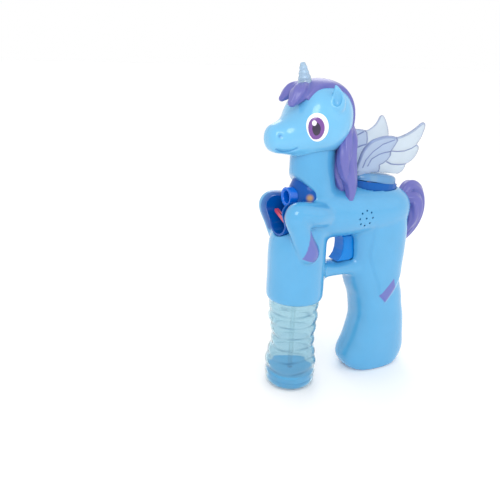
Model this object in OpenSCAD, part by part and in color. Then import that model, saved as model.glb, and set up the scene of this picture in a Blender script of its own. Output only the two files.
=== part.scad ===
// Battery bubble gun in the shape of a winged toy unicorn.
// The front is toward minus X, the left side toward minus Y and up is plus Z.
// The origin is the middle of the bottle's base. Sizes are in millimetres.

/* [Bottle] */
// Largest radius of the bottle
bottle_r = 19.2; // [17.5:0.1:19.3]
// Height of the bottle up to its neck
bottle_h = 76; // [66:0.5:84]
// Wall of the bottle
bottle_wall = 1.2; // [0.8:0.1:1.8]
// Depth of the waist
waist_depth = 1.4; // [0:0.1:3]
// Reach of the bulge under the waist
bulge_out = 0.9; // [0:0.1:1.6]
// Depth of one rib
rib_depth = 0.5; // [0.2:0.1:0.9]
// Number of ribs
rib_count = 8; // [4:1:12]
// Radius of the neck under its thread
bottle_neck_r = 13.2; // [11:0.1:14]
// Length of the neck
bottle_neck_h = 15; // [12:0.5:18]
// Pitch of the thread
thread_pitch = 4; // [3.2:0.1:5]
// Height of the thread ridge
thread_depth = 1.2; // [0.8:0.1:1.4]
// Height of the solution as a share of the bottle
fill_share = 0.16; // [0.12:0.02:0.86]

/* [Body] */
// Wall of the shells
wall = 2; // [1.6:0.1:2.4]
// Radius of the column that takes the bottle
column_r = 21.7; // [21.5:0.1:24]
// Height of the column up to the middle of the torso
column_h = 66; // [62:0.5:72]
// Length of the torso
torso_len = 112; // [108:0.5:118]
// Height of the torso
torso_h = 40; // [38:0.5:44]
// Width of the torso
torso_w = 45; // [43:0.5:50]
// Length of the grip's section
grip_len = 46; // [44:0.5:50]
// Width of the grip
grip_w = 33; // [32.8:0.2:38]
// Thickness of the bar under the finger gap
guard_h = 11.2; // [10:0.2:13]
// Width of the bar under the finger gap
guard_w = 22; // [18:0.5:26]
// Thickness of the forelegs
leg_w = 16.6; // [14:0.2:18]

/* [Head] */
// Length of the head
head_len = 65; // [61:0.5:70]
// Height of the head
head_h = 50; // [47:0.5:55]
// Width of the head
head_w = 46; // [43:0.5:51]
// Height of the head's middle over the torso's middle
head_rise = 67; // [64:0.5:71]
// Thickness of the neck
neck_w = 29; // [27:0.5:31]
// Length of the horn
horn_h = 17; // [12:0.5:24]
// Radius of the horn at its root
horn_r = 5.2; // [4.4:0.1:6.5]
// Thickness of the hair on the head
hair_t = 2.6; // [1.6:0.1:4]

/* [Wings] */
// Size of a wing from root to tip
wing_len = 41.5; // [37:0.5:48]
// Thickness of a wing
wing_t = 2.2; // [1.6:0.1:3]
// Lean of a wing to the side
wing_lean = 25; // [15:1:35]
// Length of the saddle
saddle_len = 41; // [38:0.5:46]
// Width of the saddle
saddle_w = 25; // [22:0.5:30]
// Thickness of the saddle
saddle_t = 6.4; // [5:0.1:8]

/* [Trigger and wiper] */
// Width of the trigger
trigger_w = 13; // [10:0.5:14]
// Height of the trigger
trigger_h = 20; // [18:0.5:21]
// Travel of the trigger
trigger_travel = 6; // [4:0.5:6]
// Swing of the wiper for the whole travel
wiper_swing = 52; // [40:1:56]
// Radius of the wiper's shaft
wiper_shaft_r = 1.5; // [1.2:0.1:1.8]
// Reach of the wiper's arm
wiper_reach = 19.5; // [18:0.5:21]

/* [Drive] */
// Module of the gears
gear_module = 0.6; // [0.55:0.01:0.62]
// Teeth of the motor's pinion
pinion_teeth = 10; // [10:1:12]
// Teeth of the idler's large wheel
idler_teeth = 36; // [32:2:38]
// Teeth of the idler's small wheel
idler_small_teeth = 12; // [11:1:14]
// Teeth of the pump's wheel
pump_teeth = 36; // [32:2:38]
// Length of the motor's can
motor_len = 24.8; // [22:0.2:26]
// Height of the motor's can
motor_h = 20; // [18:0.2:21]
// Width of the motor's can between its flats
motor_w = 15; // [14:0.2:16]
// Radius of the fan
fan_r = 11; // [9:0.2:11.4]
// Number of fan blades
fan_blades = 8; // [5:1:10]
// Radius of the nozzle outside
nozzle_r = 7; // [5.8:0.1:7.4]
// Radius of the nozzle's bore
nozzle_bore_r = 4.4; // [3.4:0.1:5]

/* [Power] */
// Radius of one cell
cell_r = 7.25; // [7:0.05:7.3]
// Length of one cell
cell_h = 50.5; // [44:0.5:52]

/* [Fits] */
// Clearance of a shaft in its bearing, on the radius
run_fit = 0.05; // [0.02:0.01:0.1]
// Gap between pieces that are put together
seat_fit = 0.15; // [0.1:0.01:0.25]
// Gap between pieces that move past each other
move_gap = 0.35; // [0.3:0.05:0.5]

/* [Hidden] */

// One cut runs past a face by this much
over = 1;
// Overlap of two solids of one piece
slice_t = 0.02;
// Smallest half-size of a slice
least = 0.4;
// Size of a block that holds the whole toy
far = 400;
// Points of an oval and facets of the round forms
oval_points = 24;
limb_facets = 16;
lock_facets = 12;
hole_facets = 12;
round_facets = 64;
// Shape numbers of the ovals
round_n = 2.2;
column_n = 2;
grip_n = 2.7;

body_blue = [0.44, 0.74, 0.93];
hair_violet = [0.56, 0.54, 0.84];
clear_pale = [0.82, 0.88, 0.93, 0.6];
deep_blue = [0.03, 0.3, 0.62, 0.85];
ring_blue = [0.05, 0.45, 0.85];
warm_red = [0.82, 0.33, 0.38];
clear_aqua = [0.68, 0.86, 0.93, 0.5];
soap_blue = [0.3, 0.66, 0.86, 0.7];
steel = [0.72, 0.73, 0.75];
white_plastic = [0.93, 0.93, 0.92];
dark_plastic = [0.16, 0.17, 0.19];
board_green = [0.1, 0.42, 0.22];
cell_green = [0.2, 0.5, 0.34];
light_amber = [0.98, 0.85, 0.45];
tube_clear = [0.9, 0.93, 0.95];

// Heights that the rest follows
column_lap = 4;
column_z0 = bottle_h - column_lap;
torso_z = column_z0 + column_h;
head_z = torso_z + head_rise;
motor_rise = 2;
motor_z = torso_z + motor_rise;
nozzle_rise = 13;
nozzle_z = torso_z + nozzle_rise;

// Torso along X: share of length, lift as share of height, share of height, share of width
torso_x0 = -14;
torso_shares = [[0, 0.075, 0.12, 0.12], [0.03, 0.075, 0.4, 0.36], [0.07, 0.07, 0.64, 0.58],
  [0.14, 0.05, 0.86, 0.79], [0.24, 0.02, 1, 0.93], [0.4, 0, 1, 1], [0.56, -0.01, 0.96, 1],
  [0.7, -0.02, 0.95, 0.98], [0.82, -0.03, 0.9, 0.9], [0.91, -0.04, 0.76, 0.75],
  [0.97, -0.05, 0.5, 0.5], [1, -0.05, 0.16, 0.18]];
torso_rows = [for (s = torso_shares)
  [torso_x0 + s[0] * torso_len, torso_z + s[1] * torso_h, s[2] * torso_h / 2, s[3] * torso_w / 2]];

// Column along Z: share of height, shift as share of radius, shares of radius along X and Y
column_shares = [[0, 0, 0.93, 0.93], [0.018, 0, 0.975, 0.975], [0.045, 0, 1, 1], [0.3, 0, 1, 1],
  [0.6, 0, 1, 1], [0.73, 0.03, 0.97, 0.98], [0.85, 0.14, 0.88, 0.91], [0.97, 0.32, 0.7, 0.76]];
column_rows = [for (s = column_shares)
  [column_z0 + s[0] * column_h, s[1] * column_r, s[2] * column_r, s[3] * column_r]];

// Neck along Z: share of its rise, shift, shares of its thickness along X and Y
neck_x = 8.4;
neck_top = head_z - head_h * 0.34;
neck_shares = [[0.03, 0.1, 0.68, 0.64], [0.28, 0.05, 0.63, 0.575], [0.55, 0.01, 0.58, 0.515],
  [0.82, 0, 0.565, 0.5], [1, 0, 0.565, 0.5]];
neck_rows = [for (s = neck_shares)
  [torso_z + s[0] * (neck_top - torso_z), neck_x + s[1] * neck_w, s[2] * neck_w, s[3] * neck_w]];

// Grip along Z: share of the rise, shift as share of its length, shares of length and width
grip_at_share = 0.759;
grip_x = torso_x0 + grip_at_share * torso_len;
grip_shares = [[0, 0.15, 0.95, 0.94], [0.015, 0.145, 1.08, 0.98], [0.045, 0.14, 1.22, 1],
  [0.082, 0.14, 1.326, 1], [0.127, 0.152, 1.326, 1], [0.194, 0.183, 1.196, 1], [0.261, 0.2, 1.109, 1],
  [0.336, 0.204, 1.022, 1], [0.41, 0.165, 0.987, 1], [0.485, 0.12, 0.996, 1], [0.56, 0.039, 1.026, 1],
  [0.634, 0, 1.065, 1], [0.746, 0, 1.078, 1.04], [0.858, -0.022, 1.109, 1.1], [0.97, -0.043, 1.13, 1.16]];
grip_top = torso_z - 4;
grip_rows = [for (s = grip_shares)
  [s[0] * grip_top, grip_x + s[1] * grip_len, s[2] * grip_len / 2, s[3] * grip_w / 2]];

// Bar under the finger gap along X: share of its run, lift, shares of its height and width
guard_x0 = 12;
guard_run = grip_x - guard_x0 - 10;
guard_z = torso_z - 46.5;
guard_shares = [[0, 0.24, 2, 1.1], [0.17, 0.14, 1.45, 1.05], [0.3, 0.04, 1.1, 1], [0.48, 0, 1, 1],
  [0.65, 0.04, 1.22, 1.04], [0.82, 0.12, 1.9, 1.12], [1, 0.14, 2.3, 1.16]];
guard_rows = [for (s = guard_shares)
  [guard_x0 + s[0] * guard_run, guard_z + s[1] * guard_h, s[2] * guard_h / 2, s[3] * guard_w / 2]];

// Foreleg from shoulder to hoof: places are shares of the torso's length, width and height
leg_r = leg_w / 2;
leg_at_shares = [[0.18, 0.2, -0.02], [0.009, 0.389, 0.075], [-0.125, 0.422, 0.112], [-0.085, 0.431, -0.25],
  [-0.027, 0.433, -0.6]];
leg_points = [for (s = leg_at_shares) [s[0] * torso_len, s[1] * torso_w, torso_z + s[2] * torso_h]];
leg_shares = [1.25, 1.1, 1, 0.92, 1];

// Head along X: share of its length, lift, share of height, share of width
head_back = 35.6;
head_x0 = head_back - head_len;
head_shares = [[0, -0.245, 0.1, 0.13], [0.012, -0.245, 0.22, 0.26], [0.045, -0.245, 0.34, 0.385],
  [0.105, -0.242, 0.412, 0.447], [0.17, -0.228, 0.464, 0.5], [0.24, -0.192, 0.57, 0.61],
  [0.305, -0.128, 0.74, 0.76], [0.38, -0.06, 0.89, 0.89], [0.47, -0.015, 0.98, 0.97], [0.575, 0, 1, 1],
  [0.695, 0, 0.98, 0.98], [0.815, 0.01, 0.86, 0.86], [0.91, 0.02, 0.64, 0.65], [0.97, 0.03, 0.38, 0.4],
  [1, 0.04, 0.12, 0.14]];
head_rows = [for (s = head_shares)
  [head_x0 + s[0] * head_len, head_z + s[1] * head_h, s[2] * head_h / 2, s[3] * head_w / 2]];
head_top = head_z + head_h / 2;

// Ear: from root to tip, with a dish in its outer side; places are shares of the head's three sizes
ear_r = 5.6;
ear_at_shares = [[0.652, 0.384, 0.15], [0.644, 0.424, 0.24], [0.637, 0.441, 0.32], [0.621, 0.441, 0.4],
  [0.606, 0.43, 0.47]];
ear_points = [for (s = ear_at_shares) [head_x0 + s[0] * head_len, s[1] * head_w, head_z + s[2] * head_h]];
ear_shares = [0.9, 1, 0.84, 0.52, 0.2];
ear_dish = [-2.5, 2.9, 1.1];
ear_dish_shares = [0.4, 0.72, 0.62, 0.3, 0.05];

// Horn
horn_at_share = 0.437;
horn_x = head_x0 + horn_at_share * head_len;
horn_tilt = -12;
horn_drop = 4;
horn_z = head_top - horn_drop;
horn_foot_h = 2.4;
horn_foot_r = horn_r * 1.24;
horn_tip_share = 0.34;

// Front housing: a half dome, a tray and two cheeks
housing_wall = 1.5;
dome_x = 8.2;
dome_r = 16.2;
tray_z = torso_z - 24;
dome_shares = [[0, 1], [0.66, 1], [0.76, 0.94], [0.86, 0.79], [0.95, 0.58], [1, 0.42]];
dome_h = 57;
cheek_in = 11.2;
cheek_out = cheek_in + housing_wall;
tray_lip_x = -18;
trough_in = 2;
tray_lip_h = 12;
trough_rise = 10.5;
trough_z = tray_z + trough_rise - housing_wall + cheek_out;
notch_x = 3;
notch_low = torso_z + 8;
notch_back = torso_z + 18;
notch_front = torso_z + 33;
notch_front_x = -12;

// Nozzle and wiper
nozzle_out = 4.4;
nozzle_front = dome_x - dome_r - nozzle_out;
nozzle_len = 18;
nozzle_rim = 1;
wiper_y = -8.4;
wiper_z = torso_z - 5;
wiper_gap = 0.5;
wiper_t = 2;
wiper_w = 3;
wiper_hub_r = 2.2;
wiper_rest = 20;
wiper_front = nozzle_front - wiper_gap - wiper_t;
crank_x = 8;
crank_r = 0.9;
crank_reach = 5;
crank_len = 6.6;
crank_rest = -wiper_swing / 2;
bearing_r = 3.2;
bearing_len = 8.6;

// Trigger
trigger_lead = 34;
trigger_len = 13;
trigger_x = grip_x - trigger_lead;
trigger_back = trigger_x + trigger_len;
trigger_z0 = torso_z - 40;
trigger_z1 = trigger_z0 + trigger_h;
trigger_shares = [[-0.22, 0], [-0.14, 0.06], [-0.03, 0.22], [0.02, 0.42], [0.03, 0.62], [0.01, 0.84],
  [-0.03, 1]];
cam_t = 1.6;
cam_y = wiper_y + crank_reach;
cam_low = torso_z - 16.5;
cam_high = torso_z - 12.4;
cam_head = 4;
cam_slope = 5;
cam_edge = 1.5;
cam_tail = 7;
cam_front = crank_x - trigger_travel - 3;
cam_back = trigger_back - 2;
slot_half = 1.75;
slot_end = 1.3;
slot_steps = 8;
stem_w = 7;

// Spring behind the trigger
spring_z = torso_z - 25;
spring_r = 2.6;
spring_wire = 0.35;
spring_turns = 5;
spring_steps = 12;

// Gear train, axes along X
gear_pressure = 25;
gear_add = 0.8;
gear_ded = 1.12;
gear_backlash = 0.1;
plate_lead = 11.8;
plate_x = trigger_back + plate_lead;
plate_t = 1.4;
motor_x = plate_x - motor_len;
shaft_r = 1;
axle_r = 1.1;
idler_z = motor_z - gear_module * (pinion_teeth + idler_teeth) / 2;
pump_z = idler_z - gear_module * (idler_small_teeth + pump_teeth) / 2;
pinion_x = plate_x + plate_t + 0.8;
pinion_t = 4;
idler_x = pinion_x + 0.4;
idler_t = 3;
idler_small_t = 4;
pump_gear_x = idler_x + idler_t + 0.6;
pump_gear_t = 2.8;
roller_x = pump_gear_x + pump_gear_t + 0.3;
roller_t = 6;
roller_r = 2.6;
roller_at = 6.9;
roller_pin_r = 1;
rollers = 3;
pump_plate_x = roller_x + roller_t + 1;
pump_plate_t = 1.5;
pump_plate_rise = 6;
tube_r = 2;
loop_r = roller_at + roller_r + tube_r + 0.3;
pump_ring_r = loop_r + tube_r + 0.3;
pump_ring_t = 1.2;
loop_x = roller_x + roller_t / 2;
plate_half = 13.4;
plate_low = pump_z - 13.4;
plate_high = motor_z + 9;

// Fan and duct
fan_house_r = fan_r + 2;
fan_front = motor_x - 13.6;
fan_t = 8;
fan_x = motor_x - 2.4 - fan_t;
fan_hub_r = 2.6;
fan_blade_t = 1.2;
fan_plate_t = 1.2;
duct_wall = 1.2;
duct_lift = 4;

// Bottle socket and seal
seal_t = 1.6;
seal_gap = 0.1;
mouth_z = bottle_h + bottle_neck_h;
socket_z0 = bottle_h + 2;
socket_top = mouth_z + seal_t + seal_gap;
socket_plate = 2.4;
socket_r = column_r - wall - 2 * seat_fit;
socket_bore = bottle_neck_r + thread_depth + move_gap + 0.2;
thread_turns = 1.5;
thread_steps = 24;
thread_foot = 1.1;
thread_crest = 0.5;
thread_root = 0.5;
nipple_h = 4;

// Saddle, back window and wings
saddle_at_share = 0.688;
saddle_x = torso_x0 + saddle_at_share * torso_len;
saddle_tilt = 8;
saddle_z = torso_z + 20.2;
window_rise = 12;
window_lift = 0.5;
window_z = torso_z + window_rise;
window_out = 1;
wing_lead_share = 0.331;
wing_root_x = saddle_x - wing_lead_share * saddle_len;
wing_root_y = 6.6;
wing_plug = 2.4;

// Battery case
cell_pitch = cell_r + 0.25;
cell_rise = 1.732 * cell_pitch;
tray_back = 9;
tray_x = grip_x + tray_back;
cell_spots = [[-cell_pitch, -cell_rise / 2], [cell_pitch, -cell_rise / 2], [0, cell_rise / 2]];
cell_z0 = 6;
cell_tip = 1;
tray_cap = 1.6;
door_t = 2.6;
door_share = 0.88;
contact_t = 0.5;
tray_wall = 1;
tray_half = grip_len * 0.426;

// Speaker and board
speaker_lead = 27;
speaker_x = grip_x - speaker_lead;
speaker_z = torso_z - 2.5;
speaker_r = 8;
speaker_y = -torso_w / 2 + wall + 3.2;
speaker_t = 3.4;
magnet_r = 5;
magnet_t = 2.6;
speaker_hole_r = 0.8;
speaker_seat_t = 1.4;
speaker_holes = 8;
speaker_ring = 5.8;
board_x = -1;
board_len = 17;
board_gap = 1;
board_z = tray_z + dome_h + board_gap;
board_h = 18;
board_t = 1.6;
board_screw_r = 1;
board_screw_len = 6;
board_hole_len = 8;
board_head_t = 1;
post_r = 2.6;

// Shell screws: places along X and Z
screw_r = 1.4;
screw_head_r = 2.8;
screw_head_t = 1.8;
screw_len = 13;
screw_seat = 5;
boss_r = 3.6;
column_screw_shares = [[-0.507, -0.5]];
grip_screw_shares = [[-0.304, -0.909], [0.37, -0.939], [-0.239, -1.667]];
torso_screw_shares = [[0.902, -0.061]];
neck_screw_shares = [[0.366, 0.348]];
screw_spots = concat(
  [for (s = column_screw_shares) [s[0] * column_r, torso_z + s[1] * column_h]],
  [for (s = grip_screw_shares) [grip_x + s[0] * grip_len, torso_z + s[1] * column_h]],
  [for (s = torso_screw_shares) [torso_x0 + s[0] * torso_len, torso_z + s[1] * column_h]],
  [for (s = neck_screw_shares) [neck_x + s[0] * neck_w, torso_z + s[1] * column_h]]);

// Helper shapes

function oval(a, b, n) = [for (i = [0:oval_points - 1]) let (t = 360 * i / oval_points)
  [a * sign(cos(t)) * pow(abs(cos(t)), 2 / n), b * sign(sin(t)) * pow(abs(sin(t)), 2 / n)]];

// Rows of a loft moved in by an inset, with the ends moved in too
function inset_rows(rows, inset) =
  let (last = len(rows) - 1, low = rows[0][0] + inset, high = rows[last][0] - inset)
  [for (i = [0:last]) let (at = i == 0 ? low : i == last ? high : rows[i][0])
    if (i == 0 || i == last || (at > low + least && at < high - least))
      [at, rows[i][1], max(rows[i][2] - inset, least), max(rows[i][3] - inset, least)]];

// Rings of points across X, with half-height and half-width in the row
function ring_x(row, n) = [for (p = oval(row[3], row[2], n)) [row[0], p[0], row[1] + p[1]]];

// Rings of points across Z, with half-length and half-width in the row
function ring_z(row, n) = [for (p = oval(row[2], row[3], n)) [row[1] + p[0], p[1], row[0]]];

// Closed skin over rings of equal count
module skin(rings) {
  n = oval_points;
  last = len(rings) - 1;
  side_faces = [for (i = [0:last - 1]) for (k = [0:n - 1])
    let (p = n * i + k, q = n * i + (k + 1) % n)
      each [[p, p + n, q + n], [p, q + n, q]]];
  polyhedron([for (r = rings) each r],
    concat(side_faces, [[for (k = [0:n - 1]) k]], [[for (k = [n - 1:-1:0]) n * last + k]]));
}

module loft_x(rows, n, inset) {
  skin([for (row = inset_rows(rows, inset)) ring_x(row, n)]);
}

module loft_z(rows, n, inset) {
  skin([for (row = inset_rows(rows, inset)) ring_z(row, n)]);
}

// Chain of balls through points, with radii as shares of r
module chain(points, shares, r, inset, facets) {
  for (i = [0:len(points) - 2])
    hull()
      for (k = [i, i + 1])
        translate(points[k])
          sphere(max(r * shares[k] - inset, least), $fn = facets);
}

// Children drawn flat, with local X along Y, local Y along Z and height along X
module along_x(x, y, z) {
  translate([x, y, z])
    rotate([90, 0, 90])
      children();
}

// Children drawn flat in the side view, with height along Y
module along_y(x, y, z) {
  translate([x, y, z])
    rotate([90, 0, 0])
      children();
}

// Flat drawing in X and Z pushed out across the whole width between two Y places
module side_extrude(y0, y1) {
  translate([0, y1, 0])
    rotate([90, 0, 0])
      linear_extrude(y1 - y0)
        children();
}

module half(side) {
  translate([-far / 2, side < 0 ? -far : 0, -over])
    cube([far, far, far]);
}

// Body forms

module core_form(inset) {
  loft_x(torso_rows, round_n, inset);
  loft_z(column_rows, column_n, inset);
  loft_z(neck_rows, round_n, inset);
  loft_z(grip_rows, grip_n, inset);
  loft_x(guard_rows, round_n, inset);
}

module leg_form(side, inset) {
  chain([for (p = leg_points) [p[0], side * p[1], p[2]]], leg_shares, leg_r, inset, limb_facets);
}

module neck_form(inset) {
  loft_z(neck_rows, round_n, inset);
}

module head_form(inset) {
  loft_x(head_rows, round_n, inset);
}

module ear_form(side, inset) {
  chain([for (p = ear_points) [p[0], side * p[1], p[2]]], ear_shares, ear_r, inset, lock_facets);
}

module ear_hollow(side) {
  chain([for (p = ear_points) [p[0] + ear_dish[0], side * (p[1] + ear_dish[1]), p[2] + ear_dish[2]]],
    ear_dish_shares, ear_r, 0, lock_facets);
}

// Front opening seen from the side
module notch_flat(low) {
  polygon([[-far / 4, low], [notch_x, low], [notch_x, notch_back], [notch_front_x, notch_front],
    [-far / 4, notch_front - notch_x * 2]]);
}

module dome_solid(grow) {
  translate([dome_x, 0, tray_z])
    rotate([0, 0, 90])
      rotate_extrude(angle = 180, $fn = round_facets)
        polygon(concat([[0, 0]], [for (s = dome_shares) [s[1] * dome_r + grow, s[0] * dome_h]],
          [[0, dome_h]]));
}

// Room between the forelegs, round at its bottom
module trough_solid(grow) {
  along_x(-far / 4, 0, trough_z)
    linear_extrude(far / 4 + notch_x) {
      circle(cheek_out + grow, $fn = round_facets);
      translate([-cheek_out - grow, 0])
        square([2 * cheek_out + 2 * grow, far / 4]);
    }
}

module trough_cut() {
  intersection() {
    trough_solid(seat_fit);
    side_extrude(-cheek_out - over, cheek_out + over)
      notch_flat(0);
  }
}

module trigger_slot() {
  translate([trigger_x - trigger_h / 2, -trigger_w / 2 - move_gap, trigger_z0 - move_gap])
    cube([plate_x - trigger_x + trigger_h / 2 - over, trigger_w + 2 * move_gap, trigger_h + 2 * move_gap]);
  translate([trigger_x - over, -trigger_w / 2 - move_gap, trigger_z1 - over])
    cube([trigger_travel + cam_back - trigger_x + 4 * over, trigger_w + 2 * move_gap,
      cam_high - trigger_z1 + 2 * over]);
}

module saddle_outline(grow) {
  polygon(oval(saddle_len / 2 + grow, saddle_w / 2 + grow, round_n));
}

module door_outline(grow) {
  row = grip_rows[0];
  translate([row[1], 0])
    polygon(oval(row[2] * door_share + grow, row[3] * door_share + grow, grip_n));
}

module speaker_hole_set() {
  for (i = [0:speaker_holes])
    along_y(speaker_x + (i < speaker_holes ? speaker_ring * cos(360 * i / speaker_holes) : 0),
      speaker_y,
      speaker_z + (i < speaker_holes ? speaker_ring * sin(360 * i / speaker_holes) : 0))
      cylinder(torso_w, r = speaker_hole_r, $fn = hole_facets);
}

module leg_flat(inset) {
  for (i = [1:len(leg_points) - 2])
    hull()
      for (k = [i, i + 1])
        translate([leg_points[k][0], leg_points[k][2]])
          circle(leg_r * leg_shares[k] - inset, $fn = limb_facets * 2);
}

// Ribs that hold the gear plate between them
module plate_rib(side, x) {
  reach = plate_half - rib_lap;
  intersection() {
    core_form(wall - seat_fit);
    translate([x, side < 0 ? -far : reach, pump_z + rib_rise])
      cube([plate_t, far - reach, rib_h]);
  }
}

rib_lap = 1.6;
rib_h = 9;
rib_rise = 9;

module shell_ribs(side) {
  rib_gap = plate_t + seat_fit;
  for (x = [plate_x - rib_gap, plate_x + rib_gap])
    plate_rib(side, x);
}

module shell_half(side) {
  difference() {
    union() {
      difference() {
        intersection() {
          difference() {
            core_form(0);
            core_form(wall);
          }
          half(side);
        }
        trough_cut();
        side_extrude(-far / 4, far / 4)
          notch_flat(notch_low);
      }
      difference() {
        intersection() {
          difference() {
            leg_form(side, 0);
            leg_form(side, wall);
          }
          half(side);
        }
        core_form(wall);
        trough_cut();
      }
      intersection() {
        core_form(wall - seat_fit);
        half(side);
        union() {
          translate([0, 0, socket_z0 - wall])
            cylinder(wall - seat_fit, r = column_r, $fn = round_facets);
          translate([0, 0, socket_top + socket_plate + seat_fit])
            cylinder(wall - seat_fit, r = column_r, $fn = round_facets);
          for (s = screw_spots)
            along_y(s[0], far / 8, s[1])
              cylinder(far / 4, r = boss_r, $fn = hole_facets);
        }
      }
      shell_ribs(side);
      if (side < 0)
        intersection() {
          core_form(wall - seat_fit);
          along_y(speaker_x, speaker_y, speaker_z)
            cylinder(torso_w, r = speaker_r, $fn = limb_facets);
        }
      if (side > 0)
        intersection() {
          core_form(wall - seat_fit);
          for (z = [board_z + post_r, board_z + board_h - post_r])
            along_y(board_x + board_len / 2, torso_w, z)
              cylinder(torso_w - board_t / 2, r = post_r, $fn = hole_facets);
        }
    }
    dome_solid(seat_fit);
    trigger_slot();
    translate([0, 0, column_z0 - over])
      cylinder(wall + 2.4 * over, r = bottle_r + move_gap, $fn = round_facets);
    translate([0, 0, column_z0 - over])
      cylinder(socket_top + socket_plate + wall + 2 * over - column_z0, r = bottle_r - wall,
        $fn = round_facets);
    translate([column_r / 2, -tube_r - tube_way, socket_top + socket_plate])
      cube([column_r / 2 + wall / 2, 2 * tube_r + 2 * tube_way, wall + 2 * seat_fit]);
    translate([saddle_x, 0, window_z])
      linear_extrude(torso_h)
        saddle_outline(window_out);
    translate([0, 0, -over])
      linear_extrude(door_t + wall + 2 * over)
        door_outline(seat_fit);
    translate([0, 0, neck_top - 2 * wall])
      linear_extrude(4 * wall)
        translate([neck_x, 0])
          polygon(oval(neck_w / 2 - wall, neck_w / 2 - wall, round_n));
    if (side < 0)
      along_y(speaker_x, speaker_y + over, speaker_z)
        cylinder(over + speaker_seat_t, r = speaker_r - wall / 2, $fn = limb_facets);
    if (side < 0)
      speaker_hole_set();
    for (s = screw_spots) {
      along_y(s[0], screw_seat + over, s[1])
        cylinder(screw_len + 2 * over, r = screw_r + seat_fit, $fn = hole_facets);
      along_y(s[0], far / 8, s[1])
        cylinder(far / 8 - screw_seat, r = screw_head_r + seat_fit, $fn = hole_facets);
    }
    if (side > 0)
      for (z = [board_z + post_r, board_z + board_h - post_r])
        along_y(board_x + board_len / 2, board_hole_len, z)
          cylinder(board_hole_len, r = board_screw_r + seat_fit, $fn = hole_facets);
  }
}

module body_shell_left() {
  color(body_blue)
    shell_half(-1);
}

module body_shell_right() {
  color(body_blue)
    shell_half(1);
}

// Head, hair and horn

module horn_place() {
  translate([horn_x, 0, horn_z])
    rotate([0, horn_tilt, 0])
      children();
}

module head_half(side) {
  difference() {
    intersection() {
      union() {
        difference() {
          head_form(0);
          head_form(wall);
        }
        difference() {
          ear_form(side, 0);
          ear_hollow(side);
          head_form(wall);
        }
      }
      half(side);
    }
    neck_form(-seat_fit);
    horn_place()
      translate([0, 0, -horn_h])
        cylinder(horn_h + over, r = horn_r - wall, $fn = limb_facets);
    horn_place()
      cylinder(horn_h, r = horn_foot_r + seat_fit, $fn = round_facets);
  }
}

module head_shell_left() {
  color(body_blue)
    head_half(-1);
}

module head_shell_right() {
  color(body_blue)
    head_half(1);
}

// Locks of the mane: places as shares of the head's height, from the horn, then from the head's back
lock_r = 7;
crest_half = 13;
crest_turn = 42;
front_lock_shares = [
  [[-0.08, -0.08, 0.39], [-0.18, -0.13, 0.35], [-0.31, -0.18, 0.24]],
  [[-0.04, 0.12, 0.4], [-0.14, 0.17, 0.36], [-0.24, 0.22, 0.26]]];
back_lock_shares = [
  [[-0.132, -0.18, -0.06], [-0.072, -0.22, -0.26], [-0.132, -0.31, -0.5], [-0.122, -0.34, -0.74],
    [-0.082, -0.34, -0.98], [-0.102, -0.34, -1.22]],
  [[-0.172, -0.26, -0.14], [-0.222, -0.32, -0.32], [-0.256, -0.35, -0.52], [-0.232, -0.35, -0.72],
    [-0.172, -0.34, -0.86]],
  [[-0.152, 0.12, -0.02], [-0.092, 0.14, -0.22], [-0.132, 0.2, -0.46], [-0.152, 0.26, -0.78],
    [-0.112, 0.3, -1.1]],
  [[-0.132, 0, 0.02], [-0.142, -0.08, -0.24], [-0.202, -0.18, -0.54], [-0.192, -0.2, -0.8], [-0.152, -0.22, -1.02]]];
lock_places = concat(
  [for (l = front_lock_shares) [for (s = l) [horn_x + s[0] * head_h, s[1] * head_h, head_z + s[2] * head_h]]],
  [for (l = back_lock_shares)
    [for (s = l) [head_back + s[0] * head_h, s[1] * head_h, head_z + s[2] * head_h]]]);
lock_shares = [
  [0.8, 0.85, 0.42], [0.75, 0.7, 0.3], [0.6, 0.7, 0.72, 0.7, 0.58, 0.18], [0.55, 0.66, 0.68, 0.5, 0.2],
  [0.6, 0.7, 0.72, 0.6, 0.2], [0.6, 0.68, 0.7, 0.66, 0.3]];

module mane() {
  color(hair_violet)
    difference() {
      union() {
        intersection() {
          head_form(-hair_t);
          translate([horn_x - head_len * 0.2, -crest_half, head_z + head_h * 0.42])
            rotate([0, crest_turn, 0])
              cube([far, 2 * crest_half, far]);
        }
        for (i = [0:len(lock_places) - 1])
          chain(lock_places[i], lock_shares[i], lock_r, 0, lock_facets);
      }
      head_form(-seat_fit);
      core_form(-seat_fit);
      for (side = [-1, 1])
        ear_form(side, -seat_fit);
      horn_place()
        translate([0, 0, -horn_h])
          cylinder(3 * horn_h, r = horn_foot_r + seat_fit, $fn = limb_facets);
    }
}

// Locks of the tail: places as shares of the torso's length, width and height, then radii as shares
tail_r = 8;
tail_at_shares = [
  [[0.848, 0, 0.175], [0.902, 0, 0.3], [0.955, 0, 0.2], [0.978, 0, -0.1], [0.96, 0, -0.4],
    [0.911, 0, -0.675], [0.884, 0, -0.825]],
  [[0.857, -0.089, 0.125], [0.911, -0.133, 0.075], [0.92, -0.133, -0.225], [0.884, -0.111, -0.55]],
  [[0.857, 0.089, 0.125], [0.911, 0.133, 0.075], [0.92, 0.133, -0.225], [0.884, 0.111, -0.55]]];
tail_places = [for (l = tail_at_shares)
  [for (s = l) [s[0] * torso_len, s[1] * torso_w, torso_z + s[2] * torso_h]]];
tail_shares = [[0.6, 0.72, 0.86, 0.92, 0.8, 0.5, 0.18], [0.5, 0.75, 0.75, 0.25], [0.5, 0.75, 0.75, 0.25]];

module tail() {
  color(hair_violet)
    difference() {
      for (i = [0:len(tail_places) - 1])
        chain(tail_places[i], tail_shares[i], tail_r, 0, lock_facets);
      core_form(-seat_fit);
    }
}

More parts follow.
